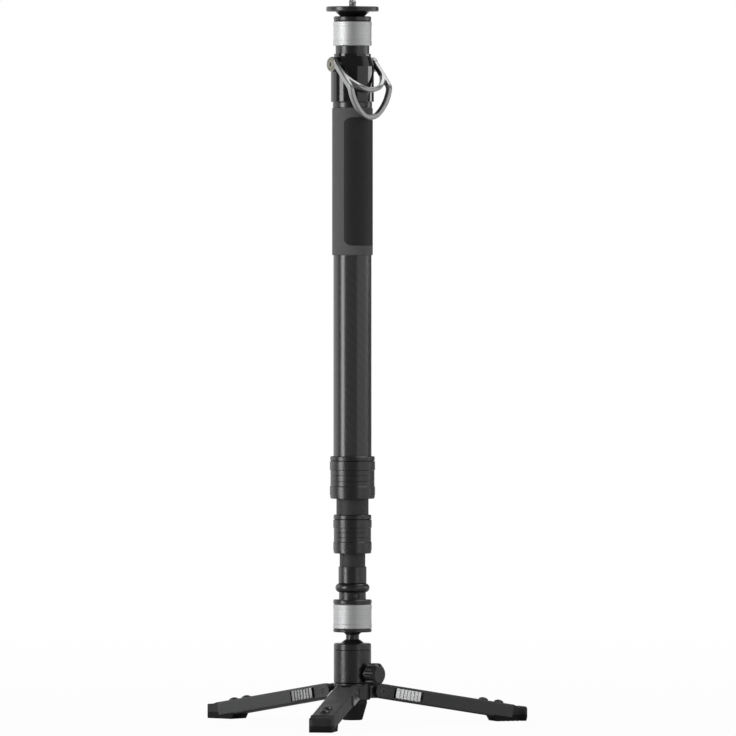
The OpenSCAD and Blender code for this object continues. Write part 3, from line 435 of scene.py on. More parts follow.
def loop_metal(finish, pivot_height, eye_r):
    """Satin cast metal, plated olive grey round the pivots"""
    made = Finish("loop_satin", finish.loop, 0.34, 1.0)
    local = made.add("ShaderNodeMapping", vector_type="TEXTURE")
    made.feed(local.inputs["Vector"], made.place)
    made.feed(local.inputs["Location"], (0, 0, pivot_height))
    made.feed(local.inputs["Rotation"], (0, 0, FRONT_TURN - math.pi / 2))
    flat = made.add("ShaderNodeVectorMath", operation="MULTIPLY")
    made.feed(flat.inputs[0], local.outputs["Vector"])
    made.feed(flat.inputs[1], (0, 1, 1))
    reach = made.add("ShaderNodeVectorMath", operation="LENGTH")
    made.feed(reach.inputs[0], flat.outputs["Vector"])
    plated = made.span(reach.outputs["Value"], eye_r - 0.5 * MM, eye_r - 1.1 * MM)
    cloud = made.noise(7 * MM, 3.0)
    rubbed = made.blend(
        made.math("MULTIPLY", made.edges(0.4 * MM), 0.4), made.shade(cloud, 0.88, 1.08), (0.7, 0.7, 0.7, 1)
    )
    made.set("Base Color", made.blend(plated, rubbed, (*finish.screw, 1)))
    made.set("Roughness", made.span(cloud, 0.3, 0.7, 0.3, 0.4))
    made.relief(made.noise(finish.grain, 2.0), 0.01 * MM, 0.5)
    return made.material


def plain_metal(name, base):
    """Machined metal with fine scratches"""
    made = Finish(name, base, 0.3, 1.0)
    scratch = made.noise(0.5 * MM, 3.0, (1, 1, 0.15))
    made.set("Base Color", made.shade(scratch, 0.85, 1.12))
    made.set("Roughness", made.span(scratch, 0.3, 0.7, 0.24, 0.38))
    made.relief(scratch, 0.008 * MM, 0.4)
    return made.material


def moulded_nylon(finish):
    """Natural nylon, a little translucent"""
    made = Finish("moulded_nylon", finish.nylon, 0.5)
    cloud = made.noise(2 * MM, 3.0)
    made.set("Base Color", made.shade(cloud, 0.92, 1.05))
    made.set("Subsurface Weight", 0.1)
    made.relief(made.noise(0.3 * MM), 0.01 * MM, 0.5)
    return made.material


def moulded_rubber(name, base, smooth, gloss):
    """Rubber with a fine moulded grain"""
    made = Finish(name, base, smooth)
    grain = made.noise(0.35 * MM, 3.0)
    dust = made.span(made.noise(5 * MM, 4.0), 0.45, 0.75)
    made.set("Base Color", made.shade(made.math("ADD", grain, dust), 0.8, 1.25))
    made.set("Roughness", made.span(grain, 0.3, 0.7, smooth, smooth + 0.1))
    made.relief(grain, 0.01 * MM, 0.3)
    made.set("Specular IOR Level", gloss)
    return made.material


def shoe_rubber(finish, sole_shade_height):
    """Dark grey upper over a matt black sole, whose near-black tone is partly painted shade of the undercut
    under the toe
    """
    made = Finish("shoe_rubber", finish.toe, 0.6)
    grain = made.noise(0.35 * MM, 3.0)
    # Near-black below this height: a black sole, darkened further as painted shade of the undercut under the
    # toe
    sole = made.math("LESS_THAN", made.axis("Z"), low("leg_1_shoe").z + sole_shade_height)
    upper = made.shade(grain, 0.85, 1.2)
    made.set("Base Color", made.blend(sole, upper, (0.004, 0.004, 0.004, 1)))
    matt = made.math("MULTIPLY", sole, 0.22)
    made.set("Roughness", made.math("ADD", made.span(grain, 0.3, 0.7, 0.5, 0.68), matt))
    made.relief(grain, 0.03 * MM, 0.5)
    return made.material


def grip_foam(finish):
    """Closed foam with fine pores"""
    made = Finish("grip_foam", finish.grip, 0.78)
    pores = made.cells(0.5 * MM)
    cloud = made.noise(12 * MM, 4.0)
    tone = made.math("ADD", pores, made.math("MULTIPLY", cloud, 0.5))
    made.set("Base Color", made.shade(tone, 0.75, 1.12))
    made.set("Roughness", made.span(cloud, 0.3, 0.7, 0.7, 0.86))
    made.relief(pores, 0.06 * MM, 0.6)
    made.set("Specular IOR Level", 0.3)
    return made.material


def grip_wrap(finish):
    """Pebbled rubber of the darker panel"""
    made = Finish("grip_wrap", finish.panel, 0.55)
    pebble = made.cells(0.9 * MM)
    grain = made.noise(0.2 * MM, 2.0)
    made.set("Base Color", made.shade(pebble, 1.2, 0.75))
    made.set("Roughness", made.span(grain, 0.3, 0.7, 0.48, 0.64))
    made.relief(made.math("ADD", pebble, made.math("MULTIPLY", grain, 0.3)), 0.06 * MM, 0.5)
    made.set("Specular IOR Level", 0.3)
    return made.material


def collar_gloss(finish):
    """Gloss moulding with faint handling marks"""
    made = Finish("collar_gloss", finish.collar, 0.2)
    marks = made.noise(1.2 * MM, 5.0, (1, 1, 0.3))
    made.set("Base Color", made.shade(made.noise(8 * MM), 0.9, 1.1))
    made.set("Roughness", made.span(marks, 0.35, 0.75, 0.09, 0.16))
    made.relief(marks, 0.004 * MM, 0.3)
    made.set("Specular IOR Level", 0.72)
    return made.material


# Geometry nodes

class Tree:
    """A geometry node tree with named inputs that ends in Realize Instances and Set Material."""

    def __init__(self, name, takes_mesh, sizes):
        self.group = bpy.data.node_groups.new(name, "GeometryNodeTree")
        self.ids = {}
        sockets = [("Material", "NodeSocketMaterial")] + [(size, "NodeSocketFloat") for size in sizes]
        if takes_mesh:
            self.group.interface.new_socket("Geometry", in_out="INPUT", socket_type="NodeSocketGeometry")
        self.group.interface.new_socket("Geometry", in_out="OUTPUT", socket_type="NodeSocketGeometry")
        for label, kind in sockets:
            socket = self.group.interface.new_socket(label, in_out="INPUT", socket_type=kind)
            self.ids[label] = socket.identifier
        self.entry = self.group.nodes.new("NodeGroupInput")

    def size(self, label):
        return self.entry.outputs[label]

    def node(self, kind, settings=None, **inputs):
        node = self.group.nodes.new(kind)
        for key, value in (settings or {}).items():
            setattr(node, key, value)
        for label, value in inputs.items():
            self.feed(node.inputs[label.replace("_", " ")], value)
        return node

    def feed(self, socket, value):
        if isinstance(value, bpy.types.NodeSocket):
            self.group.links.new(value, socket)
        else:
            socket.default_value = value

    def math(self, operation, *values):
        node = self.node("ShaderNodeMath", {"operation": operation})
        for socket, value in zip(node.inputs, values):
            self.feed(socket, value)
        return node.outputs[0]

    def vector(self, x=0.0, y=0.0, z=0.0):
        return self.node("ShaderNodeCombineXYZ", X=x, Y=y, Z=z).outputs[0]

    def sweep(self, curve, section):
        """A section carried along a curve, its ends closed"""
        node = self.node("GeometryNodeCurveToMesh", Curve=curve, Profile_Curve=section, Fill_Caps=True)
        return node.outputs[0]

    def close(self, geometry, smooth=True):
        whole = self.node("GeometryNodeRealizeInstances", Geometry=geometry).outputs[0]
        shaded = self.node("GeometryNodeSetShadeSmooth", Geometry=whole, Shade_Smooth=smooth).outputs[0]
        dressed = self.node("GeometryNodeSetMaterial", Geometry=shaded, Material=self.size("Material"))
        exit_node = self.group.nodes.new("NodeGroupOutput")
        self.group.links.new(dressed.outputs[0], exit_node.inputs[0])

    def make(self, mesh, material, **sizes):
        """A plain mesh made by the tree, from a mesh where the tree takes one"""
        holder = new_object("holder", mesh or bpy.data.meshes.new("empty"))
        modifier = holder.modifiers.new("tree", "NODES")
        modifier.node_group = self.group
        modifier[self.ids["Material"]] = material
        for label, value in sizes.items():
            modifier[self.ids[label.replace("_", " ")]] = value
        return baked(holder)


def thread_tree():
    """A thread of diamond section round a core"""
    tree = Tree("screw_thread", False, ("Radius", "Depth", "Pitch", "Height"))
    reach = tree.math("SUBTRACT", tree.size("Radius"), tree.size("Depth"))
    turns = tree.math("DIVIDE", tree.size("Height"), tree.size("Pitch"))
    spiral = tree.node(
        "GeometryNodeCurveSpiral", Resolution=40, Rotations=turns, Start_Radius=reach, End_Radius=reach,
        Height=tree.size("Height"),
    )
    upright = tree.node("GeometryNodeSetCurveNormal", {"mode": "Z_UP"}, Curve=spiral.outputs[0])
    section = tree.node("GeometryNodeCurvePrimitiveCircle", Resolution=4, Radius=tree.size("Depth"))
    tree.close(tree.sweep(upright.outputs[0], section.outputs[0]), False)
    return tree


def coil_tree():
    """A spring's wire along a spiral"""
    tree = Tree("latch_spring", False, ("Radius", "Wire", "Turns", "Height"))
    spiral = tree.node(
        "GeometryNodeCurveSpiral", Resolution=24, Rotations=tree.size("Turns"),
        Start_Radius=tree.size("Radius"), End_Radius=tree.size("Radius"), Height=tree.size("Height"),
    )
    section = tree.node("GeometryNodeCurvePrimitiveCircle", Resolution=8, Radius=tree.size("Wire"))
    tree.close(tree.sweep(spiral.outputs[0], section.outputs[0]))
    return tree


def bar_tree():
    """A flat bar along a mesh's edges, its face turned as the points' face attribute says"""
    tree = Tree("flat_bar", True, ("Width", "Depth", "Corner", "Step"))
    path = tree.node("GeometryNodeMeshToCurve", Mesh=tree.entry.outputs["Geometry"])
    even = tree.node(
        "GeometryNodeResampleCurve", {"mode": "LENGTH"}, Curve=path.outputs[0], Length=tree.size("Step")
    )
    face = tree.node("GeometryNodeInputNamedAttribute", {"data_type": "FLOAT_VECTOR"}, Name="face")
    turned = tree.node(
        "GeometryNodeSetCurveNormal", {"mode": "FREE"}, Curve=even.outputs[0], Normal=face.outputs[0]
    )
    plain = tree.node(
        "GeometryNodeCurvePrimitiveQuadrilateral", Width=tree.size("Depth"), Height=tree.size("Width")
    )
    section = tree.node(
        "GeometryNodeFilletCurve", {"mode": "POLY"}, Curve=plain.outputs[0],
        Radius=tree.size("Corner"), Count=4,
    )
    tree.close(tree.sweep(turned.outputs[0], section.outputs[0]))
    return tree


def tread_tree():
    """Grooves cut across a shoe's sole, which runs outwards at an angle from +X"""
    sizes = ("Turn", "Start", "Pitch", "Count", "Width", "Depth", "Across", "Floor")
    tree = Tree("sole_grooves", True, sizes)
    row = tree.node(
        "GeometryNodeMeshLine", Count=tree.size("Count"),
        Start_Location=tree.vector(tree.size("Start"), 0.0, tree.size("Floor")),
        Offset=tree.vector(tree.size("Pitch")),
    )
    tall = tree.math("MULTIPLY", tree.size("Depth"), 2.0)
    cutter = tree.node(
        "GeometryNodeMeshCube", Size=tree.vector(tree.size("Width"), tree.size("Across"), tall)
    )
    placed = tree.node("GeometryNodeInstanceOnPoints", Points=row.outputs[0], Instance=cutter.outputs[0])
    whole = tree.node("GeometryNodeRealizeInstances", Geometry=placed.outputs[0])
    turn = tree.vector(0.0, 0.0, tree.size("Turn"))
    turned = tree.node("GeometryNodeTransform", Geometry=whole.outputs[0], Rotation=turn)
    cut = tree.node("GeometryNodeMeshBoolean", {"operation": "DIFFERENCE"})
    tree.feed(cut.inputs["Mesh 1"], tree.entry.outputs["Geometry"])
    tree.feed(cut.inputs["Mesh 2"], turned.outputs[0])
    tree.close(cut.outputs[0], False)
    return tree


# Meshes

def new_object(name, mesh):
    """An object at the origin, linked to the scene"""
    made = bpy.data.objects.new(name, mesh)
    bpy.context.scene.collection.objects.link(made)
    return made


def baked(holder):
    """The holder's mesh with its modifiers applied; the holder goes"""
    graph = bpy.context.evaluated_depsgraph_get()
    mesh = bpy.data.meshes.new_from_object(holder.evaluated_get(graph), depsgraph=graph)
    holder.modifiers.clear()
    bpy.data.objects.remove(holder)
    return mesh


def lathe(profile, steps):
    """A mesh turned about Z from points of radius and height, closed where it starts off the axis"""
    built = bmesh.new()
    points = [built.verts.new((r, 0, z)) for r, z in profile]
    links = [built.edges.new((a, b)) for a, b in zip(points, points[1:])]
    if profile[0][0] > 0:
        links.append(built.edges.new((points[-1], points[0])))
    bmesh.ops.spin(
        built, geom=points + links, axis=(0, 0, 1), cent=(0, 0, 0), angle=2 * math.pi, steps=steps,
        use_merge=True,
    )
    bmesh.ops.remove_doubles(built, verts=built.verts, dist=1e-7)
    bmesh.ops.recalc_face_normals(built, faces=built.faces)
    return finished(built, "turned")


def finished(built, name):
    """A mesh from a bmesh, which goes"""
    mesh = bpy.data.meshes.new(name)
    built.to_mesh(mesh)
    built.free()
    return mesh


def joined(meshes, name):
    """One mesh from several"""
    built = bmesh.new()
    for mesh in meshes:
        built.from_mesh(mesh)
    return finished(built, name)


def merged_copy(node, name):
    """A copy of a construction node's mesh with its loose triangles joined into faces"""
    built = bmesh.new()
    built.from_mesh(NODES[node].data)
    bmesh.ops.remove_doubles(built, verts=built.verts, dist=1e-6)
    bmesh.ops.dissolve_limit(
        built, angle_limit=math.radians(0.5), use_dissolve_boundaries=False, verts=built.verts,
        edges=built.edges,
    )
    return finished(built, name)


def dress(mesh, material):
    """Gives a mesh a single material"""
    mesh.materials.clear()
    mesh.materials.append(material)


def smooth_by_angle(mesh, degrees):
    """Shades a mesh smooth, with edges sharper than the angle kept"""
    mesh.shade_smooth()
    mesh.set_sharp_from_angle(angle=math.radians(degrees))


def stand_for(piece, node, body):
    """Puts a piece in the place of a construction node"""
    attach(piece, body)
    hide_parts(node)


def paint(material, *nodes):
    """Gives construction nodes a material"""
    for node in nodes:
        dress(NODES[node].data, material)


# Operators

class MONOPOD_OT_column(bpy.types.Operator):
    """Finish the tubes, the turned parts and the silver rings"""

    bl_idname = "monopod.column"
    bl_label = "Column"
    bl_options = {"REGISTER", "UNDO"}

    def execute(self, context):
        finish = context.scene.monopod_finish
        paint(carbon_tube("carbon_tube", "main_tube", 0.2, 0.68, finish), "main_tube")
        paint(carbon_tube("satin_tube", "middle_tube", 0.5, 0.4, finish), *INNER_TUBES)
        paint(black_anodised(finish), *TURNED, "clamp_knob")
        paint(silver_turned(finish), *SILVER)
        paint(collar_gloss(finish), "carry_collar")
        paint(plain_metal("loop_screw_plate", finish.screw), "loop_screws")
        return {"FINISHED"}


class MONOPOD_OT_inside(bpy.types.Operator):
    """Finish the steel, bronze and nylon pieces inside"""

    bl_idname = "monopod.inside"
    bl_label = "Inner pieces"
    bl_options = {"REGISTER", "UNDO"}

    def execute(self, context):
        finish = context.scene.monopod_finish
        pins = ["leg_%d_pin" % n for n in LEGS]
        paint(plain_metal("steel", finish.steel), *STEEL)
        paint(plain_metal("black_steel", finish.black_steel), *pins, "grip_ring")
        paint(plain_metal("bronze", finish.bronze), "clamp_pad")
        paint(moulded_nylon(finish), *NYLON)
        return {"FINISHED"}


class MONOPOD_OT_soft(bpy.types.Operator):
    """Finish the grip and the rubber pieces"""

    bl_idname = "monopod.soft"
    bl_label = "Grip and rubber"
    bl_options = {"REGISTER", "UNDO"}

    def execute(self, context):
        finish = context.scene.monopod_finish
        buttons = ["leg_%d_buttons" % n for n in LEGS]
        paint(grip_foam(finish), "grip_sleeve")
        paint(grip_wrap(finish), "grip_panel")
        paint(moulded_rubber("moulded_rubber", finish.rubber, 0.26, 0.9), *RUBBER, *buttons)
        paint(moulded_rubber("foot_rubber", finish.rubber, 0.45, 0.4), "centre_foot")
        return {"FINISHED"}


class MONOPOD_OT_legs(bpy.types.Operator):
    """Finish the legs and their latches"""

    bl_idname = "monopod.legs"
    bl_label = "Legs"
    bl_options = {"REGISTER", "UNDO"}

    def execute(self, context):
        finish = context.scene.monopod_finish
        paint(leg_metal(finish), *["leg_%d" % n for n in LEGS])
        latch = silver_blasted("latch_silver", finish.silver, 0.16, finish)
        paint(latch, *["leg_%d_latch" % n for n in LEGS])
        return {"FINISHED"}


class MONOPOD_OT_camera_screw(bpy.types.Operator):
    """Turn the camera screw and wind its thread"""

    bl_idname = "monopod.camera_screw"
    bl_label = "Camera screw"
    bl_options = {"REGISTER", "UNDO"}

    def execute(self, context):
        pieces = context.scene.monopod_pieces
        steel = bpy.data.materials["steel"]
        foot, tip = low("camera_stud"), high("camera_stud")
        seat = high("top_plate").z
        shank = half_width("camera_stud")
        outer = pieces.thread_d / 2
        core = outer - 2 * pieces.thread_depth
        root = core + 0.3 * MM
        point = 0.7 * MM
        body = lathe([
            (0, foot.z), (shank, foot.z), (shank, seat), (root, seat), (root, tip.z - point),
            (core - point / 2, tip.z), (0, tip.z),
        ], 64)
        thread = thread_tree().make(
            None, steel, Radius=outer, Depth=pieces.thread_depth, Pitch=pieces.thread_pitch,
            Height=tip.z - seat - 2 * point,
        )
        thread.transform(Matrix.Translation((0, 0, seat + point / 2)))
        mesh = joined((body, thread), "camera_screw")
        dress(mesh, steel)
        smooth_by_angle(mesh, 35)
        stand_for(new_object("camera_screw", mesh), "camera_stud", "upper_column")
        return {"FINISHED"}


class MONOPOD_OT_plate_pad(bpy.types.Operator):
    """Mould the plate's pad with its round ridges"""

    bl_idname = "monopod.plate_pad"
    bl_label = "Plate pad"
    bl_options = {"REGISTER", "UNDO"}

    def execute(self, context):
        pieces = context.scene.monopod_pieces
        foot, top = low("plate_pad").z, high("plate_pad").z
        outer = half_width("plate_pad")
        inner = pieces.pad_hole
        ridges = int((outer - inner) / pieces.pad_pitch)
        pitch = (outer - inner) / ridges
        profile = [(inner, foot), (outer, foot)]
        groove = top - pieces.pad_depth
        for i in range(ridges):
            edge = outer - i * pitch
            profile += [
                (edge, groove), (edge - 0.2 * pitch, top), (edge - 0.7 * pitch, top),
                (edge - 0.9 * pitch, groove),
            ]
        profile.append((inner, groove))
        mesh = lathe(profile, 128)
        dress(mesh, bpy.data.materials["moulded_rubber"])
        smooth_by_angle(mesh, 30)
        stand_for(new_object("ridged_pad", mesh), "plate_pad", "upper_column")
        return {"FINISHED"}


def loop_depth(drop, pieces):
    """How far out the loop's bar lies at a drop: a leaning arm, a bend and an upright end"""
    bend, lean, out = pieces.loop_bend, pieces.loop_lean, pieces.loop_out
    bend_drop = (math.cos(lean) * (out - pieces.loop_ahead - bend) + bend) / math.sin(lean)
    if drop < bend_drop - bend * math.sin(lean):
        return pieces.loop_ahead + drop * math.tan(lean)
    if drop < bend_drop:
        return out - bend + math.sqrt(bend ** 2 - (bend_drop - drop) ** 2)
    return out


def loop_face(drop, pieces):
    """The way that the bar's face looks at a drop"""
    nudge = 0.1 * MM
    rise = loop_depth(drop + nudge, pieces) - loop_depth(drop - nudge, pieces)
    return Vector((0, 2 * nudge, rise)).normalized()


def loop_paths(pieces):
    """Middle lines of the loop and its cross bar, as points of sideways and drop"""
    steps = 24
    tail = 3 * MM
    half, end_r, straight = pieces.loop_half, pieces.loop_end, pieces.loop_side
    end_drop = pieces.loop_drop - end_r
    fall = end_drop - straight
    side_r = (half ** 2 + fall ** 2 - end_r ** 2) / (2 * (half - end_r))
    turn = math.atan2(fall, side_r - half)
    side = [(half, (straight + tail) * i / steps - tail) for i in range(steps)]
    for i in range(steps):
        a = turn * i / steps
        side.append((half - side_r * (1 - math.cos(a)), straight + side_r * math.sin(a)))
    for i in range(steps):
        a = turn + (math.pi / 2 - turn) * i / steps
        side.append((end_r * math.cos(a), end_drop + end_r * math.sin(a)))
    loop = side + [(0, pieces.loop_drop)] + [(-x, drop) for x, drop in reversed(side)]
    sag = pieces.loop_sag
    cross_r = (half ** 2 + sag ** 2) / (2 * sag)
    reach = math.asin(half / cross_r)
    cross = []
    for i in range(-steps, steps + 1):
        a = reach * i / steps
        cross.append((cross_r * math.sin(a), pieces.loop_cross - cross_r * (1 - math.cos(a))))
    return loop, cross


def path_mesh(paths, pieces):
    """A mesh of edges along the paths, from the pivot's middle and facing +Y"""
    built = bmesh.new()
    facing = built.verts.layers.float_vector.new("face")
    for path in paths:
        points = []
        for x, drop in path:
            point = built.verts.new((x, loop_depth(drop, pieces), -drop))
            point[facing] = loop_face(drop, pieces)
            points.append(point)
        for a, b in zip(points, points[1:]):
            built.edges.new((a, b))
    return finished(built, "loop_path")


class MONOPOD_OT_carry_loop(bpy.types.Operator):
    """Sweep the carry loop's bars and blend them into its eyes"""

    bl_idname = "monopod.carry_loop"
    bl_label = "Carry loop"
    bl_options = {"REGISTER", "UNDO"}

    def execute(self, context):
        finish = context.scene.monopod_finish
        pieces = context.scene.monopod_pieces
        pivot = high("carry_loop").z - pieces.loop_eye / 2
        metal = loop_metal(finish, pivot, pieces.loop_eye / 2)
        bars = bar_tree().make(
            path_mesh(loop_paths(pieces), pieces), metal, Width=pieces.loop_bar - 0.2 * MM,
            Depth=pieces.loop_deep, Corner=pieces.loop_corner, Step=0.6 * MM,
        )
        holder = new_object("holder", joined((bars, *self.eyes(pieces)), "loop_parts"))
        remesh = holder.modifiers.new("fuse", "REMESH")
        remesh.mode = "VOXEL"
        remesh.voxel_size = 0.28 * MM
        soften = holder.modifiers.new("soften", "SMOOTH")
        soften.factor = 0.5
        soften.iterations = 6
        mesh = baked(holder)
        place = Matrix.Translation((0, 0, pivot)) @ Matrix.Rotation(FRONT_TURN - math.pi / 2, 4, "Z")
        mesh.transform(place)
        dress(mesh, metal)
        mesh.shade_smooth()
        stand_for(new_object("cast_loop", mesh), "carry_loop", "loop")
        return {"FINISHED"}

    def eyes(self, pieces):
        """Both eyes, each with its bore and the sunk seat of its screw"""
        outer = pieces.loop_eye / 2
        thick = pieces.loop_bar
        rim = 0.5 * MM
        bore, seat, sunk = 2.6 * MM, 4.1 * MM, 1.4 * MM
        profile = [
            (bore, 0), (outer - rim, 0), (outer, rim), (outer, thick - rim), (outer - rim, thick),
            (seat, thick), (seat, thick - sunk), (bore, thick - sunk),
        ]
        made = []
        for side in (0, math.pi):
            eye = lathe(profile, 64)
            out = Matrix.Translation((pieces.loop_half - thick / 2, 0, 0))
            eye.transform(Matrix.Rotation(side, 4, "Z") @ out @ Matrix.Rotation(math.pi / 2, 4, "Y"))
            made.append(eye)
        return made


def leg_top(n):
    """Normal and height of a leg's flat top"""
    mesh = NODES["leg_%d" % n].data
    face = max((f for f in mesh.polygons if f.normal.z > 0.9), key=lambda f: f.area)
    return face.normal.copy(), face.normal.dot(mesh.vertices[face.vertices[0]].co)


def raise_toe(mesh, n, toe):
    """Brings a shoe's upper edge, where it meets the bar, level with the bar's top"""
    edge_gap, toe_length = 3.5 * MM, 10 * MM
    normal, height = leg_top(n)
    out = leg_way(n)
    for vertex in mesh.vertices:
        gap = height - vertex.co.dot(normal)
        if gap < edge_gap and toe - vertex.co.dot(out) > toe_length:
            vertex.co += normal * gap


class MONOPOD_OT_shoes(bpy.types.Operator):
    """Round the shoes' edges and groove their soles"""

    bl_idname = "monopod.shoes"
    bl_label = "Shoes"
    bl_options = {"REGISTER", "UNDO"}

    def execute(self, context):
        finish = context.scene.monopod_finish
        pieces = context.scene.monopod_pieces
        rubber = shoe_rubber(finish, pieces.sole_shade_height)
        tree = tread_tree()
        toe = -low("leg_1_shoe").y
        heel = -high("leg_1_shoe").y
        pitch = (toe - heel) / (pieces.tread_count + 1.5)
        groove_length = 40 * MM
        for n in LEGS:
            node = "leg_%d_shoe" % n
            upper = merged_copy(node, node)
            raise_toe(upper, n, toe)
            holder = new_object("holder", upper)
            bevel = holder.modifiers.new("rounding", "BEVEL")
            bevel.width = pieces.shoe_edge
            bevel.segments = 3
            bevel.limit_method = "ANGLE"
            bevel.angle_limit = math.radians(28)
            mesh = tree.make(
                baked(holder), rubber, Turn=leg_turn(n), Start=heel + 1.6 * pitch, Pitch=pitch,
                Count=pieces.tread_count, Width=pieces.tread_width, Depth=pieces.tread_depth,
                Across=groove_length, Floor=low(node).z,
            )
            dress(mesh, rubber)
            smooth_by_angle(mesh, 40)
            stand_for(new_object("leg_%d_boot" % n, mesh), node, "leg_%d" % n)
        return {"FINISHED"}


class MONOPOD_OT_springs(bpy.types.Operator):
    """Wind the latch springs"""

    bl_idname = "monopod.springs"
    bl_label = "Latch springs"
    bl_options = {"REGISTER", "UNDO"}

    def execute(self, context):
        pieces = context.scene.monopod_pieces
        steel = bpy.data.materials["steel"]
        tree = coil_tree()
        for n in LEGS:
            node = "leg_%d_spring" % n
            start, end, radius = self.line(n)
            wire = pieces.spring_wire / 2
            axis = end - start
            mesh = tree.make(
                None, steel, Radius=radius - wire, Wire=wire, Turns=float(pieces.spring_turns),
                Height=axis.length - 2 * wire,
            )
            turn = axis.to_track_quat("Z", "X").to_matrix().to_4x4()
            mesh.transform(Matrix.Translation(start + axis.normalized() * wire) @ turn)
            dress(mesh, steel)
            mesh.shade_smooth()
            stand_for(new_object("leg_%d_coil" % n, mesh), node, "leg_%d" % n)
        return {"FINISHED"}

    def line(self, n):
        """Both ends and the radius of a spring, from its node"""
        points = [v.co.copy() for v in NODES["leg_%d_spring" % n].data.vertices]
        out = leg_way(n)
        reach = sorted(points, key=lambda p: p.dot(out))
        half = len(points) // 2
        first = sum(reach[:half], Vector()) / half
        last = sum(reach[half:], Vector()) / (len(points) - half)
        along = (last - first).normalized()
        middle = (first + last) / 2
        spread = [(p - middle).dot(along) for p in points]
        radius = max(((p - middle) - along * (p - middle).dot(along)).length for p in points)
        return middle + along * min(spread), middle + along * max(spread), radius


class MONOPOD_OT_neck_screw(bpy.types.Operator):
    """Set the small screw in the lower socket's neck"""

    bl_idname = "monopod.neck_screw"
    bl_label = "Neck screw"
    bl_options = {"REGISTER", "UNDO"}

    def execute(self, context):
        pieces = context.scene.monopod_pieces
        top = low("end_bumper").z
        r = pieces.plug_d / 2
        rise, rim, sunk, key, shank = 0.5 * MM, 0.2 * MM, 0.9 * MM, 1.3 * MM, 2 * MM
        mesh = lathe([
            (0, -shank), (r, -shank), (r, rise - rim), (r - rim, rise), (key, rise), (key, rise - sunk),
            (0, rise - sunk),
        ], 32)
        place = Matrix.Rotation(pieces.plug_turn, 4, "Z") @ Matrix.Translation((pieces.neck_r, 0, top - r))
        mesh.transform(place @ Matrix.Rotation(math.pi / 2, 4, "Y"))
        dress(mesh, bpy.data.materials["black_anodised"])
        smooth_by_angle(mesh, 35)
        screw = new_object("neck_screw", mesh)
        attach(screw, "lower_column")
        return {"FINISHED"}


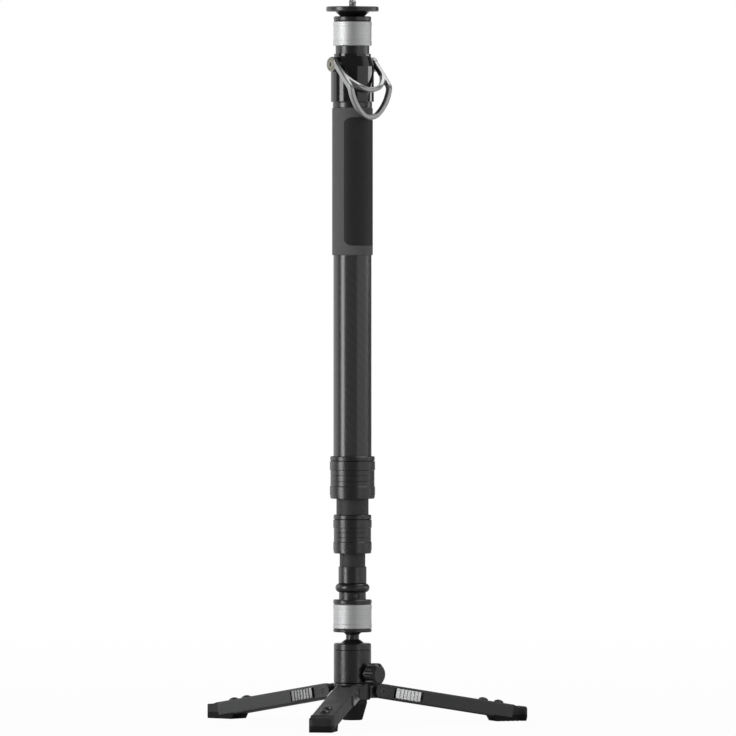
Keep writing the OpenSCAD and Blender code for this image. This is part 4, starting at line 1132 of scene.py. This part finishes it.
class MONOPOD_OT_stage(bpy.types.Operator):
    """Lay the floor, set the lamps and place the camera"""

    bl_idname = "monopod.stage"
    bl_label = "Stage"
    bl_options = {"REGISTER", "UNDO"}

    def execute(self, context):
        studio = context.scene.monopod_studio
        context.scene.view_settings.view_transform = "Standard"
        self.floor(studio)
        self.world(context.scene, studio)
        self.lamps(studio)
        self.camera(context.scene, studio)
        return {"FINISHED"}

    def floor(self, studio):
        built = bmesh.new()
        bmesh.ops.create_circle(built, cap_ends=True, segments=96, radius=studio.floor_size)
        bmesh.ops.translate(built, vec=(0, 0, CAD_BOX[0].z - studio.floor_gap), verts=built.verts)
        mesh = finished(built, "floor")
        dress(mesh, self.floor_material(studio))
        new_object("floor", mesh)

    def floor_material(self, studio):
        """Pale with plain white mixed in: all white at its rim, and mirrored only behind the object

        Its underside is clear, so that the object can be seen from below.
        """
        made = Finish("floor_white", (0.5, 0.5, 0.5), 0.9)
        speck = made.noise(0.05, 3.0)
        made.set("Base Color", made.shade(speck, 0.97, 1.0))
        made.set("Specular IOR Level", 0.0)
        reach = made.add("ShaderNodeVectorMath", operation="LENGTH")
        made.feed(reach.inputs[0], made.place)
        near, rim = 0.3, 0.9 * studio.floor_size
        share = made.span(reach.outputs["Value"], near, rim, studio.floor_glow, 1.0)
        behind = made.add("ShaderNodeVectorMath", operation="DOT_PRODUCT")
        made.feed(behind.inputs[0], made.place)
        made.feed(behind.inputs[1], (-math.sin(studio.view_turn), math.cos(studio.view_turn), 0))
        path = made.add("ShaderNodeLightPath")
        far = made.span(behind.outputs["Value"], 0.1, 0.8)
        mirrored = made.math("MULTIPLY", path.outputs["Is Glossy Ray"], far)
        plain = made.math("MAXIMUM", path.outputs["Is Camera Ray"], path.outputs["Is Transmission Ray"])
        glow = made.add("ShaderNodeEmission")
        strength = made.span(share, studio.floor_glow, 1.0, studio.glow_level, 1.0)
        made.feed(glow.inputs["Strength"], strength)
        mix = made.add("ShaderNodeMixShader")
        made.feed(mix.inputs[0], made.math("MULTIPLY", share, made.math("MAXIMUM", plain, mirrored)))
        made.feed(mix.inputs[1], made.shader.outputs["BSDF"])
        made.feed(mix.inputs[2], glow.outputs[0])
        under = made.add("ShaderNodeMixShader")
        made.feed(under.inputs[0], made.add("ShaderNodeNewGeometry").outputs["Backfacing"])
        made.feed(under.inputs[1], mix.outputs[0])
        made.feed(under.inputs[2], made.add("ShaderNodeBsdfTransparent").outputs[0])
        made.feed(made.tree.nodes["Material Output"].inputs["Surface"], under.outputs[0])
        return made.material

    def world(self, scene, studio):
        """White to the camera; metal mirrors white from straight behind the object and little elsewhere"""
        world = bpy.data.worlds.new("studio")
        scene.world = world
        world.use_nodes = True
        nodes, links = world.node_tree.nodes, world.node_tree.links
        nodes.clear()
        path = nodes.new("ShaderNodeLightPath")
        place = nodes.new("ShaderNodeTexCoord")
        facing = nodes.new("ShaderNodeVectorMath")
        facing.operation = "DOT_PRODUCT"
        facing.inputs[1].default_value = (math.sin(studio.view_turn), -math.cos(studio.view_turn), 0)
        links.new(place.outputs["Generated"], facing.inputs[0])
        fade = nodes.new("ShaderNodeMapRange")
        fade.interpolation_type = "SMOOTHSTEP"
        links.new(facing.outputs["Value"], fade.inputs["Value"])
        limits = {"From Min": -0.97, "From Max": -0.85, "To Min": 1.0, "To Max": studio.mirror_shade}
        for label, value in limits.items():
            fade.inputs[label].default_value = value
        glossy = path.outputs["Is Glossy Ray"]
        seen = self.mixed(nodes, links, glossy, studio.ambient, fade.outputs["Result"])
        clear = nodes.new("ShaderNodeMath")
        clear.operation = "MAXIMUM"
        links.new(path.outputs["Is Camera Ray"], clear.inputs[0])
        links.new(path.outputs["Is Transmission Ray"], clear.inputs[1])
        strength = self.mixed(nodes, links, clear.outputs[0], seen, 1.0)
        background = nodes.new("ShaderNodeBackground")
        background.inputs["Color"].default_value = (1, 1, 1, 1)
        links.new(strength, background.inputs["Strength"])
        output = nodes.new("ShaderNodeOutputWorld")
        links.new(background.outputs[0], output.inputs["Surface"])

    def mixed(self, nodes, links, share, first, second):
        mix = nodes.new("ShaderNodeMix")
        for socket, value in zip((mix.inputs[0], mix.inputs[2], mix.inputs[3]), (share, first, second)):
            if isinstance(value, bpy.types.NodeSocket):
                links.new(value, socket)
            else:
                socket.default_value = value
        return mix.outputs[0]

    def lamps(self, studio):
        """Area lamps round the object, and one above it"""
        middle = Vector((0, 0, 0.3))
        for lamp in LAMPS:
            a = studio.view_turn + math.radians(lamp.turn)
            place = Vector((math.sin(a) * lamp.reach, -math.cos(a) * lamp.reach, lamp.height))
            self.lamp(lamp.name, place, middle, lamp.wide, lamp.tall, lamp.watts)
        self.lamp("top_panel", Vector((0.8, 0.85, 2.6)), Vector((0.4, 0.4, 0)), 1.5, 1.5, 15)

    def lamp(self, name, place, aim, wide, tall, watts):
        data = bpy.data.lights.new(name, "AREA")
        data.shape = "RECTANGLE"
        data.size = wide
        data.size_y = tall
        data.energy = watts
        lamp = bpy.data.objects.new(name, data)
        lamp.location = place
        lamp.rotation_euler = (aim - place).to_track_quat("-Z", "Y").to_euler()
        lamp.visible_camera = False
        bpy.context.scene.collection.objects.link(lamp)

    def camera(self, scene, studio):
        a = studio.view_turn
        side = Vector((math.cos(a), math.sin(a), 0)) * studio.view_side
        eye = Vector((math.sin(a), -math.cos(a), 0)) * studio.view_range + side
        eye.z = studio.view_height
        aim = side + Vector((0, 0, studio.aim_height))
        data = bpy.data.cameras.new("view")
        data.angle = studio.view_angle
        data.clip_end = 100
        camera = bpy.data.objects.new("view", data)
        camera.location = eye
        camera.rotation_euler = (aim - eye).to_track_quat("-Z", "Y").to_euler()
        scene.collection.objects.link(camera)
        scene.camera = camera


STEPS = (
    MONOPOD_OT_column, MONOPOD_OT_inside, MONOPOD_OT_soft, MONOPOD_OT_legs, MONOPOD_OT_camera_screw,
    MONOPOD_OT_plate_pad, MONOPOD_OT_carry_loop, MONOPOD_OT_shoes, MONOPOD_OT_springs,
    MONOPOD_OT_neck_screw, MONOPOD_OT_stage,
)
SETTINGS = {
    "monopod_finish": MonopodFinish, "monopod_pieces": MonopodPieces, "monopod_studio": MonopodStudio,
}


class MONOPOD_PT_panel(bpy.types.Panel):
    """Lists the steps and their settings"""

    bl_label = "Monopod"
    bl_space_type = "VIEW_3D"
    bl_region_type = "UI"
    bl_category = "Monopod"

    def draw(self, context):
        for step in STEPS:
            self.layout.operator(step.bl_idname)
        for name, group in SETTINGS.items():
            box = self.layout.box()
            for setting in group.__annotations__:
                box.prop(getattr(context.scene, name), setting)


def register():
    for group in SETTINGS.values():
        bpy.utils.register_class(group)
    for name, group in SETTINGS.items():
        setattr(bpy.types.Scene, name, PointerProperty(type=group))
    for step in STEPS:
        bpy.utils.register_class(step)
    bpy.utils.register_class(MONOPOD_PT_panel)


def unregister():
    bpy.utils.unregister_class(MONOPOD_PT_panel)
    for step in reversed(STEPS):
        bpy.utils.unregister_class(step)
    for name in SETTINGS:
        delattr(bpy.types.Scene, name)
    for group in reversed(list(SETTINGS.values())):
        bpy.utils.unregister_class(group)


def main():
    register()
    for step in STEPS:
        family, name = step.bl_idname.split(".")
        getattr(getattr(bpy.ops, family), name)()


if __name__ == "__main__":
    main()
